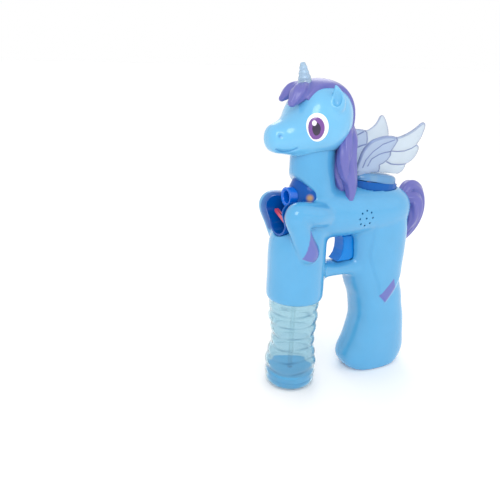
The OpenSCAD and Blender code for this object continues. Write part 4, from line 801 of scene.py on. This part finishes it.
EAR = [(a * HEAD_LEN, b * HEAD_W, HEAD_Z + c * HEAD_H) for a, b, c in EAR_SHARES]
EAR_R = [EAR_WIDEST * s for s in EAR_R_SHARES]
DISH = [[p + shift for p, shift in zip(place, DISH_SHIFT)] for place in EAR[1:]]
DISH_R = [EAR_WIDEST * s for s in DISH_R_SHARES]
HEAD_WALL = 2.4
HEAD_STEPS = 8
HEAD_VOXEL = 0.55
HOLLOW_VOXEL = 1.0
EAR_VOXEL = 0.5
NECK_SEAT = 0.2
HORN_AT = (-1, 0, 226)
HORN_TILT = -12
HORN = Matrix.Translation(HORN_AT) @ Matrix.Rotation(math.radians(HORN_TILT), 4, "Y")
HORN_PEG_R = 3.4
HORN_SEAT_R = 6.65
HORN_HOLE = [(0, -HORN_H), (HORN_PEG_R, -HORN_H), (HORN_PEG_R, 0), (HORN_SEAT_R, 0),
             (HORN_SEAT_R, HORN_H), (0, HORN_H)]
NOSTRIL = (-24.2, 195.4)
MOUTH = [(-25.5, 186.2), (-21, 184.6), (-16, 185.0), (-12.5, 187.4)]
FACE_Y = 2
FACE_FACING = (0.15, 0.45)

# Depths of the nostril and mouth, and how far the cut and the painted shade in the two spread
NOSTRIL_DEPTH = 0.9
MOUTH_DEPTH = 0.6
FACE_CUT_SPREADS = (2.2, 0.5)
FACE_SHADE_SPREADS = (1.4, 0.16)

# Eye ovals from the rim inward: name, middle, half sizes, turn in radians, lift over the head and material
EYES = [("eye_rim_", (-2.4, 202.0), (7.0, 9.4), 0.14, 0.22, eye_white),
        ("eye_iris_", (-3.2, 201.5), (5.5, 7.9), 0.14, 0.36, eye_iris),
        ("eye_pupil_", (-3.6, 201.1), (3.2, 5.2), 0.14, 0.46, eye_dark),
        ("eye_glint_", (-5.1, 204.8), (1.5, 2.0), 0.0, 0.58, eye_white)]
EYE_RINGS = 7
EYE_SIDES = 40
EYE_FROM_Y = 80
EYE_EDGE_DROP = 0.75
EYE_EDGE_POWER = 6


def face_lines(x, z, nose_spread, mouth_spread):
    """Nearness to the nostril and to the line of the mouth."""
    nose = np.exp(-((x - NOSTRIL[0]) ** 2 + (z - NOSTRIL[1]) ** 2) / nose_spread)
    mouth = np.exp(-off_line(x, z, MOUTH) ** 2 / mouth_spread)
    return nose, mouth


def muzzle(co, nor):
    nose, mouth = face_lines(co[:, 0], co[:, 2], *FACE_CUT_SPREADS)
    return -(NOSTRIL_DEPTH * nose + MOUTH_DEPTH * mouth) * ease(np.abs(nor[:, 1]), *FACE_FACING)


def build_ear(side):
    ear = sweep("ear%d" % side, on_side(EAR, side), EAR_R, steps=10, sides=36)
    dish = sweep("dish%d" % side, on_side(DISH, side), DISH_R, steps=10, sides=30)
    return cut(remesh(ear, EAR_VOXEL, smooth=2), remesh(dish, EAR_VOXEL, smooth=1))


def build_head():
    head = loft("head", HEAD, ROUND_N, "x", 0.0, HEAD_STEPS)
    head = remesh(join("head", [head, build_ear(-1), build_ear(1)]), HEAD_VOXEL, smooth=7)
    sculpt(head, muzzle)
    cut(head, remesh(loft("head_in", HEAD, ROUND_N, "x", HEAD_WALL), HOLLOW_VOXEL, smooth=2))
    cut(head, remesh(loft("neck_cut", NECK, ROUND_N, "z", -NECK_SEAT), BODY_VOXEL, smooth=1))
    cut(head, lathe("horn_hole", HORN_HOLE, HORN, count=48))
    return remesh(head, HEAD_VOXEL, smooth=2)


def surface_of(obj):
    bm = bmesh.new()
    bm.from_mesh(obj.data)
    surface = BVHTree.FromBMesh(bm)
    bm.free()
    return surface


def lay_oval(name, surface, side, at, half, turn, lift, material):
    """A thin oval laid on the head's side."""
    c, s = math.cos(turn), math.sin(turn)
    verts, faces = [], []
    for i in range(EYE_RINGS + 1):
        for k in range(EYE_SIDES):
            a = 2 * math.pi * k / EYE_SIDES
            p, q = half[0] * i / EYE_RINGS * math.cos(a), half[1] * i / EYE_RINGS * math.sin(a)
            x, z = at[0] + p * c - q * s, at[1] + p * s + q * c
            start = Vector((x, side * EYE_FROM_Y, z)) * MM
            hit, nor, _, _ = surface.ray_cast(start, Vector((0, -side, 0)))
            edge = lift * (1 - EYE_EDGE_DROP * (i / EYE_RINGS) ** EYE_EDGE_POWER)
            verts.append(tuple((hit + nor * edge * MM) / MM))
    for i in range(EYE_RINGS):
        for k in range(EYE_SIDES):
            a, b = i * EYE_SIDES + k, i * EYE_SIDES + (k + 1) % EYE_SIDES
            faces.append((a, b, b + EYE_SIDES, a + EYE_SIDES))
    obj = make(name, verts, faces)
    face_outward(obj.data, weld=True)
    if sum(f.normal.y for f in obj.data.polygons) * side < 0:
        obj.data.flip_normals()
    finish(obj, material, "shell", angle=80)


def paint_face_shade(obj):
    # Painted shade: darker blue in the nostril's dip and along the mouth's groove
    x, y, z = places(obj).T
    nose, mouth = face_lines(x, z, *FACE_SHADE_SPREADS)
    paint(obj, "dark", np.maximum(nose, mouth) * (np.abs(y) > FACE_Y))


def dress_head():
    head = build_head()
    surface = surface_of(head)
    for side, tag in ((-1, "left"), (1, "right")):
        for name, at, half, turn, lift, material in EYES:
            lay_oval(name + tag, surface, side, at, half, turn, lift, material)
    left, right = halves(head)
    for piece, node in ((left, "head_shell_left"), (right, "head_shell_right")):
        paint_face_shade(piece)
        piece.name = "dressed_" + node
        finish(piece, head_blue_lit, "shell", (node,), angle=70)


dress_head()


# Mane and tail: locks with strands, each as its points and its thickness as shares of a radius

LOCKS = [
    ([(-5, -4, 224.5), (-10, -6.5, 222.5), (-16.5, -9, 217)], (.8, .85, .42)),
    ([(-3, 6, 225), (-8, 8.5, 223), (-13, 11, 218)], (.75, .7, .3)),
    ([(29, -9, 202), (32, -11, 192), (29, -15.5, 180), (29.5, -17, 168), (31.5, -17, 156),
      (30.5, -17, 144)], (.6, .7, .72, .7, .58, .18)),
    ([(27, -13, 198), (24.5, -16, 189), (22.8, -17.5, 179), (24, -17.5, 169), (27, -17, 162)],
     (.55, .66, .68, .5, .2)),
    ([(28, 6, 204), (31, 7, 194), (29, 10, 182), (28, 13, 166), (30, 15, 150)], (.6, .7, .72, .6, .2)),
    ([(29, 0, 206), (28.5, -4, 193), (25.5, -9, 178), (26, -10, 165), (28, -11, 154)],
     (.6, .68, .7, .66, .3))]
TAIL = [
    ([(95, 0, 145), (101, 0, 150), (107, 0, 146), (109.5, 0, 134), (107.5, 0, 122), (102, 0, 111),
      (99, 0, 105)], (.6, .72, .86, .92, .8, .5, .18)),
    ([(96, -4, 143), (102, -6, 141), (103, -6, 129), (99, -5, 116)], (.5, .75, .75, .25)),
    ([(96, 4, 143), (102, 6, 141), (103, 6, 129), (99, 5, 116)], (.5, .75, .75, .25))]
LOCK_R = 7.0
TAIL_R = 8.0
HAIR_VOXEL = 0.6
SKULL_VOXEL = 0.8
SKULL_LAP = 0.1
STRAND_RIDGE = 0.07
STRANDS = 6
STRAND_TWIST = 1.1
STRAND_TWIST_STEP = 0.3
STRAND_SOFT_STEPS = 14
# Painted shade in the strand valleys: where it starts and fills, and how strong it is
STRAND_VALLEY = (-0.02, 0.3)
STRAND_SHADE_TINT = 0.85
CREST_T = 2.4
CREST_AT = (-14, 0, 226)
CREST_TILT = 42
CREST_HALF_W = 12.8
CREST_REACH = 150


def hair(name, locks, r, extra=()):
    parts = list(extra)
    for i, (points, shares) in enumerate(locks):
        radii = [r * s for s in shares]
        parts.append(sweep("lock", points, radii, steps=12, sides=56, ridge=STRAND_RIDGE, strands=STRANDS,
                           twist=STRAND_TWIST + STRAND_TWIST_STEP * i))
    return remesh(join(name, parts), HAIR_VOXEL, smooth=2)


def shade_strands(obj):
    """Painted shade: a darker colour in the valleys between strands."""
    soft = copy(obj, "soft")
    add_smooth(soft, STRAND_SOFT_STEPS)
    bake(soft)
    rise = ((places(obj) - places(soft)) * normals(obj)).sum(1)
    drop(soft)
    paint(obj, "valley_shade", ease(-rise, *STRAND_VALLEY) * STRAND_SHADE_TINT)


def crest():
    """The hair that lies on the top and back of the head."""
    rows = [[s, o, a + CREST_T, b + CREST_T] for s, o, a, b in HEAD]
    cap = loft("cap", rows, ROUND_N, "x", 0.0, HEAD_STEPS)
    keep = box("keep", (0, -CREST_HALF_W, 0), (CREST_REACH, CREST_HALF_W, CREST_REACH))
    keep.data.transform(moved(CREST_AT, CREST_TILT, "Y"))
    return cut(cap, keep, "INTERSECT")


def dress_hair():
    mane = hair("dressed_mane", LOCKS, LOCK_R, [crest()])
    cut(mane, remesh(loft("skull", HEAD, ROUND_N, "x", SKULL_LAP), SKULL_VOXEL))
    tail = hair("dressed_tail", TAIL, TAIL_R)
    for piece, node in ((mane, "mane"), (tail, "tail")):
        shade_strands(piece)
        finish(piece, violet, "shell", (node,), angle=60)


dress_hair()


# Horn: a foot, a rippled cone and a round tip, as radius and height, with a bore in the foot

HORN_FOOT = [(6.45, 0), (6.45, 1.8), (6.0, 2.4), (HORN_R, 2.9)]
HORN_TAPER = 3.3
HORN_RIPPLE = 0.18
HORN_RIPPLES = 4
HORN_CONE_H = 13.2
HORN_STEPS = 40
HORN_LEAST_R = 1.0
HORN_TIP = [(1.5, 16.5), (0.9, 16.9), (0.0, HORN_H)]
HORN_BORE_R = 2.6
HORN_BORE_H = 6.5
HORN_DARK_Z = (2.2, 3.4)


def dress_horn():
    profile = [(HORN_BORE_R, 0)] + HORN_FOOT
    for i in range(1, HORN_STEPS):
        t = i / HORN_STEPS
        r = HORN_R - t * HORN_TAPER + HORN_RIPPLE * math.sin(2 * math.pi * HORN_RIPPLES * t)
        profile.append((max(r, HORN_LEAST_R), HORN_FOOT[-1][1] + t * HORN_CONE_H))
    profile += HORN_TIP + [(0.0, HORN_BORE_H), (HORN_BORE_R, HORN_BORE_H)]
    horn = lathe("dressed_horn", profile, HORN, count=64)
    back = HORN.inverted()
    up = np.array([(back @ Vector(p)).z for p in places(horn)])
    paint(horn, "base", 1 - ease(up, *HORN_DARK_Z))
    finish(horn, horn_clear, "shell", ("horn",), angle=50)


dress_horn()


# Wings: the outline, the raised short feathers at the root and the grooves between the feathers, with
# painted shade in the grooves and along the rim

WING_EDGE = [
    (-8, -4), (-8.4, 4), (-8.6, 11), (-8.6, 18.9), (-6.8, 23.5), (-4.1, 27), (1, 29.2), (6.6, 30.4),
    (13, 30), (18.7, 29.3), (24, 31.3), (28.8, 34.3), (32, 37.5), (34.3, 40.2), (36.2, 41), (38, 39.4),
    (39.4, 34), (39.6, 28), (39, 22.5), (41.3, 21), (42.8, 17.3), (42.9, 13), (41.5, 9), (39, 6.5),
    (37, 5.3), (37.2, 2), (36.3, -1.5), (32, -4.6)]
COVERT = [
    (-9, -5), (-9.5, 20), (-4.5, 28), (6, 31.5), (16, 29.5), (18.2, 27), (17.6, 22.5), (16.2, 18),
    (17.6, 14), (16.7, 10.6), (14, 7.6), (11.1, 6.3), (12.8, 2.5), (13, -4)]
COVERT_BORDER = COVERT[4:]
FEATHER_LINES = [
    [(16.4, 18), (23, 17.2), (29.4, 17.4), (35, 19.4), (39.4, 22.6)],
    [(16.8, 8.6), (22, 6.2), (26, 5.4), (32, 5.0), (37.4, 5.4)],
    [(-3.6, 5), (-3.6, 11.7), (-.2, 18.4), (6, 24.5), (15, 27.8)],
    [(.5, 6), (1.2, 12.1), (6.4, 15.8), (11, 17.2), (15.4, 17.8)]]
FEATHER_DEPTH = 0.3

# Reach of the grooves and of the rim's painted shade, from full to none on each side, and how strongly
# painted shade darkens them
BORDER_REACH = (0.3, 0.8)
LINE_REACH = (0.25, 0.7)
RIM_SHADE_REACH = (0.5, 1.3)
RIM_CLEAR = (0.3, 1.0)
COVERT_SOFT = 0.9
COVERT_TINT = 0.75
GROOVE_SHADE_TINT = 0.85
RIM_SHADE_TINT = 0.5

# Wing blank: thickness, grid of the remeshing, the foot, and the block under the wing that is cut away
WING_HALF_T = 1.0
WING_VOXEL = 0.38
WING_FOOT_LOW, WING_FOOT_HIGH = (-6, -0.9, -2.3), (6, 0.9, 4)
WING_UNDER_LOW, WING_UNDER_HIGH = (-60, -20, -60), (90, 20, 1.0)

# Place of the wing's root, and how far it lies in front of the saddle's middle
WING_X = 49.5
WING_Y = 6.6
WING_LEAD = 13.57


def wing_blank(outline):
    """The flat wing with its lower edge cut along the saddle, and the foot that seats in the saddle."""
    wing = prism("blade", outline, "y", -WING_HALF_T, WING_HALF_T)
    under = box("under", WING_UNDER_LOW, WING_UNDER_HIGH)
    under.data.transform(Matrix.Rotation(math.radians(SADDLE_TILT), 4, "Y"))
    cut(wing, under)
    wing = join("wing", [wing, box("foot", WING_FOOT_LOW, WING_FOOT_HIGH)])
    return remesh(wing, WING_VOXEL, smooth=5)


def feather(wing, outline):
    """Raises the short feathers and cuts the grooves between feathers; paints the short feathers' tint, and
    painted shade in the grooves and along the rim.
    """
    p, _, q = places(wing).T
    rim = off_line(p, q, outline + outline[:1])
    border = off_line(p, q, COVERT_BORDER)
    line = 1 - ease(border, *BORDER_REACH)
    for points in FEATHER_LINES:
        line = np.maximum(line, 1 - ease(off_line(p, q, points), *LINE_REACH))
    cover = inside(p, q, COVERT) * ease(border, 0.0, COVERT_SOFT)
    rise = FEATHER_DEPTH * cover - FEATHER_DEPTH * line * ease(rim, *RIM_CLEAR)
    sculpt(wing, lambda _co, nor: rise * np.abs(nor[:, 1]))
    paint(wing, "covert", cover * COVERT_TINT)
    # Painted shade in the grooves and along the wing's rim
    paint(wing, "line", np.maximum(line * GROOVE_SHADE_TINT, RIM_SHADE_TINT * (1 - ease(rim, *RIM_SHADE_REACH))))


def dress_wing(side, tag):
    outline = [tuple(r) for r in spline(WING_EDGE, steps=8)]
    wing = wing_blank(outline)
    feather(wing, outline)
    root_z = SADDLE_Z + SADDLE_T + WING_LEAD * math.tan(math.radians(SADDLE_TILT))
    wing.data.transform(moved((WING_X, side * WING_Y, root_z), -side * WING_LEAN, "X"))
    wing.name = "dressed_wing_" + tag
    finish(wing, pearl, "shell", ("wing_" + tag,), angle=50)


dress_wing(-1, "left")
dress_wing(1, "right")


# Bottle: a waist that is deeper at the front, a bulge under it and ribs that wander, with painted shade on
# one flank of each rib

# Middle and half width of each as shares of the height, with its depth
WAIST_SHARES = (.5, .26)
WAIST_DEPTH = 1.4
BULGE_SHARES = (.25, .2)
BULGE_OUT = 0.9
DENT_SHARES = (.53, .22)
DENT_DEPTH = 1.7
DENT_TURN = 2.5
RIB_DEPTH = 0.42
RIB_COUNT = 8
RIB_START_Z = (6, 11)
RIB_END_Z = (66, 70)
RIB_WANDER = 0.9
RIB_WANDER_TURN = 0.6
RIB_RIPPLE = 0.5
RIB_RIPPLE_RUN = 9
# Painted shade on one flank of each rib: its place on the rib, spread, strength, and how it fades round the
# bottle
FLANK_SHARE = 0.62
FLANK_SPREAD = 0.085
FLANK_SHADE_TINT = 0.6
FLANK_FADE = 0.4
FLANK_FADE_RUN = 4
BOTTLE_FOOT_R = 5.8
BOTTLE_FOOT_H = 5
BOTTLE_FOOT_ROWS = 9
BOTTLE_SIDE_Z = (5.6, 72.4)
BOTTLE_NECK = [(18.6, 73.6), (17.2, 74.8), (15.2, 75.5), (13.4, BOTTLE_H), (BOTTLE_NECK_R, 77),
               (BOTTLE_NECK_R, BOTTLE_H + BOTTLE_NECK_H)]
SHOULDER_T = 1.0
SHOULDER_Z = 76.5
BOTTLE_ROWS = 130
BOTTLE_SIDES = 144
AXIS_R = 0.01


def bump_at(share, zone):
    """One at a zone's middle, falling softly to zero at its half width."""
    middle, half = zone
    t = (share - middle) / half
    return 0.0 if abs(t) >= 1 else (1 - t * t) ** 2


def rib_height(z, a):
    """Height with the slow wander of the ribs round the bottle."""
    wander = RIB_WANDER * np.sin(2 * a + RIB_WANDER_TURN)
    return z + wander + RIB_RIPPLE * np.sin(3 * a + z / RIB_RIPPLE_RUN)


def rib_zone(z):
    return ease(z, *RIB_START_Z) * (1 - ease(z, *RIB_END_Z))


def bottle_at(z, a):
    """Radius of the bottle's side at a height and an angle."""
    share = z / BOTTLE_H
    r = BOTTLE_R - WAIST_DEPTH * bump_at(share, WAIST_SHARES) + BULGE_OUT * bump_at(share, BULGE_SHARES)
    rib = RIB_DEPTH * (1 - math.cos(2 * math.pi * RIB_COUNT * rib_height(z, a) / BOTTLE_H)) * rib_zone(z)
    dent = DENT_DEPTH * bump_at(share, DENT_SHARES) * max(0.0, math.cos(a - DENT_TURN))
    return r - rib - dent


def build_bottle(name):
    """The outer wall from foot to mouth, then the inner wall back down."""
    flat_r = BOTTLE_R - BOTTLE_FOOT_R
    foot = [(AXIS_R, 0.0)]
    for t in np.linspace(0, math.pi / 2, BOTTLE_FOOT_ROWS):
        foot.append((flat_r + BOTTLE_FOOT_R * math.sin(t), BOTTLE_FOOT_H * (1 - math.cos(t))))
    side = list(np.linspace(*BOTTLE_SIDE_Z, BOTTLE_ROWS))
    turns = [2 * math.pi * k / BOTTLE_SIDES for k in range(BOTTLE_SIDES)]
    rings = []

    def ring(radii, z):
        rings.append([(r * math.cos(a), r * math.sin(a), z) for r, a in zip(radii, turns)])

    for r, z in foot:
        ring([r] * BOTTLE_SIDES, z)
    for z in side:
        ring([bottle_at(z, a) for a in turns], z)
    for r, z in BOTTLE_NECK:
        ring([r] * BOTTLE_SIDES, z)
    for r, z in reversed(BOTTLE_NECK):
        ring([r - BOTTLE_WALL] * BOTTLE_SIDES, z - (0.0 if z > SHOULDER_Z else SHOULDER_T))
    for z in reversed(side):
        ring([bottle_at(z, a) - BOTTLE_WALL for a in turns], min(z, BOTTLE_SIDE_Z[1] - SHOULDER_T))
    for r, z in reversed(foot):
        ring([max(r - BOTTLE_WALL, AXIS_R)] * BOTTLE_SIDES, max(z, BOTTLE_WALL))
    return skin(name, rings)


def dress_bottle():
    bottle = build_bottle("dressed_bottle")
    x, y, z = places(bottle).T
    turn = np.arctan2(y, x)
    wave = RIB_COUNT * rib_height(z, turn) / BOTTLE_H
    flank_shade = np.exp(-((wave % 1.0 - FLANK_SHARE) / FLANK_SPREAD) ** 2) * rib_zone(z)
    fade = 1 - FLANK_FADE + FLANK_FADE * np.sin(5 * turn + z / FLANK_FADE_RUN)
    # Painted shade on the ribs' flanks
    paint(bottle, "rib", FLANK_SHADE_TINT * flank_shade * fade)
    finish(bottle, bottle_clear, "bottle", ("bottle",), angle=60)


dress_bottle()


# Saddle: a crowned oval plate, as height and share of its size, whose underside is lower at the back

SADDLE_CROWN = [(0.0, 0.95), (0.5, 0.99), (1.2, 1.0), (2.4, 0.995), (3.6, 0.97), (4.6, 0.92), (5.4, 0.83),
                (5.9, 0.68), (6.2, 0.4), (6.3, 0.05)]
SADDLE_DROP = 4.4
SADDLE_DROP_X = (-6, 17)
SADDLE_DROP_Z = (0.6, 4.2)


def dress_saddle():
    rings = []
    for h, g in SADDLE_CROWN:
        rings.append([(p, q, h) for p, q in oval(SADDLE_LEN / 2 * g, SADDLE_W / 2 * g, ROUND_N, count=96)])
    saddle = skin("dressed_saddle", rings)
    co = places(saddle)
    co[:, 2] -= SADDLE_DROP * ease(co[:, 0], *SADDLE_DROP_X) * (1 - ease(co[:, 2], *SADDLE_DROP_Z))
    put_places(saddle, co)
    saddle.data.transform(moved((SADDLE_X, 0, SADDLE_Z), SADDLE_TILT, "Y"))
    finish(saddle, saddle_pale, "shell", ("wing_saddle",), angle=60)


dress_saddle()


# Trigger spring: a wire coil in the part's spring box; on the toy it shortens as the trigger slides back

SPRING_TURNS = 5
SPRING_STEPS = 16
SPRING_WIRE = 0.35


def dress_spring():
    low, high = (np.array(v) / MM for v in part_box("trigger_spring"))
    _, y0, z0 = (low + high) / 2
    r = (high[2] - low[2]) / 2 - SPRING_WIRE
    start, end = low[0] + SPRING_WIRE, high[0] - SPRING_WIRE
    coil = []
    for t in np.linspace(0, 1, SPRING_TURNS * SPRING_STEPS + 1):
        a = 2 * math.pi * SPRING_TURNS * t
        coil.append((start + (end - start) * t, y0 + r * math.cos(a), z0 + r * math.sin(a)))
    spring = sweep("dressed_spring", coil, [SPRING_WIRE] * len(coil), steps=2, sides=10)
    finish(spring, steel, "shell", ("trigger_spring",), angle=60)
    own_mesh(spring)


dress_spring()


# CAD nodes that are seen as they are: a small edge round and a moulded finish

LOOKS = {
    "back_window": window_blue, "front_housing": deep_blue, "bubble_nozzle": ring_blue, "wiper": red,
    "trigger": trigger_blue, "wiper_cam": trigger_blue, "bubble_solution": liquid, "lights": amber,
    "speaker": dark, "bottle_socket": deep_blue, "bottle_seal": soft_tube, "dip_tube": dip_clear,
    "pump_tube": soft_tube, "pump_housing": milky, "pump_gear": milky, "pump_rollers": steel,
    "pump_axle": steel, "idler_gear": milky, "idler_axle": steel, "drive_pinion": brass, "motor": steel,
    "motor_shaft": steel, "fan_impeller": milky, "air_duct": grey, "gear_plate": grey,
    "motor_screws": steel, "trigger_switch": dark, "battery_cells": cell_wrap, "battery_tray": grey,
    "battery_contacts": steel, "battery_door": body_blue, "door_screw": steel,
    "circuit_board": board_green, "board_screws": steel, "shell_screws": steel}
EDGE_ROUND = {"trigger": 0.9, "bubble_nozzle": 0.4, "wiper": 0.3, "battery_door": 0.6,
              "front_housing": 0.25, "back_window": 0.25}
EDGE_WELD = 0.002
EDGE_ANGLE = 35


def round_edges(node, width):
    weld = node.modifiers.new("weld", "WELD")
    weld.merge_threshold = EDGE_WELD * MM
    edge = node.modifiers.new("edge", "BEVEL")
    edge.width = width * MM
    edge.segments = 3
    edge.limit_method = "ANGLE"
    edge.angle_limit = math.radians(EDGE_ANGLE)
    edge.use_clamp_overlap = True


for name, node in nodes.items():
    if node.hide_render:
        continue
    node.data.materials.clear()
    node.data.materials.append(LOOKS.get(name, grey))
    if name in EDGE_ROUND:
        round_edges(node, EDGE_ROUND[name])


# Floor, light and camera

FLOOR_HALF = 9000
FLOOR_Z = -0.05
corners = [(-FLOOR_HALF, -FLOOR_HALF), (FLOOR_HALF, -FLOOR_HALF), (FLOOR_HALF, FLOOR_HALF),
           (-FLOOR_HALF, FLOOR_HALF)]
floor = make("floor", [(p, q, FLOOR_Z) for p, q in corners], [(0, 1, 2, 3)])
floor.data.materials.append(floor_white)

world = bpy.data.worlds.new("studio")
scene.world = world
world.use_nodes = True
world.node_tree.nodes["Background"].inputs["Color"].default_value = (1.0, 1.0, 1.0, 1.0)
world.node_tree.nodes["Background"].inputs["Strength"].default_value = 1.0


def area(name, at, aim, size, power):
    """A round lamp; its place, aim and size are in metres and its power in watts."""
    lamp = bpy.data.lights.new(name, "AREA")
    lamp.shape = "DISK"
    lamp.size = size
    lamp.energy = power
    obj = show(name, lamp)
    obj.location = Vector(at)
    obj.rotation_euler = (Vector(aim) - Vector(at)).to_track_quat("-Z", "Y").to_euler()


area("key", at=(-0.35, -0.55, 0.6), aim=(0.03, 0, 0.13), size=0.42, power=1.7)
area("fill", at=(0.55, -0.55, 0.45), aim=(0.04, 0, 0.12), size=0.7, power=0.4)
area("rim", at=(0.3, 0.6, 0.6), aim=(0.03, 0, 0.13), size=0.5, power=0.8)
scene.view_settings.view_transform = "Standard"
scene.view_settings.look = "None"

# The photograph's view: angles in degrees, distance from a middle, and lens and shift in the photo's pixels
VIEW_ROUND = -36
VIEW_RISE = 16
VIEW_ROLL = 4
VIEW_FAR = 450.0
VIEW_MIDDLE = (35, 0, 125)
PHOTO_SIDE = 500
PHOTO_LENS = 585.0
PHOTO_SHIFT = (39, -129)
SENSOR = 36


def aim_camera():
    """Looks at the origin, rolls, and then turns by the shift."""
    az, el, roll = math.radians(VIEW_ROUND), math.radians(VIEW_RISE), math.radians(VIEW_ROLL)
    back = Vector((math.sin(az) * math.cos(el), -math.cos(az) * math.cos(el), math.sin(el)))
    eye = Vector(VIEW_MIDDLE) + back * VIEW_FAR
    ahead = -eye.normalized()
    right = ahead.cross(Vector((0, 0, 1))).normalized()
    up = right.cross(ahead)
    c, s = math.cos(roll), math.sin(roll)
    right, up = right * c + up * s, up * c - right * s
    want = Vector((PHOTO_SHIFT[0] / PHOTO_LENS, PHOTO_SHIFT[1] / PHOTO_LENS, -1)).normalized()
    turn = Vector((0, 0, -1)).rotation_difference(want).to_matrix()
    rows = turn @ Matrix((right, up, -ahead))
    lens = bpy.data.cameras.new("camera")
    lens.sensor_width = SENSOR
    lens.lens = PHOTO_LENS * SENSOR / PHOTO_SIDE
    lens.clip_start = 0.01
    cam = show("camera", lens)
    cam.matrix_world = Matrix.Translation(eye * MM) @ rows.transposed().to_4x4()
    scene.camera = cam


aim_camera()
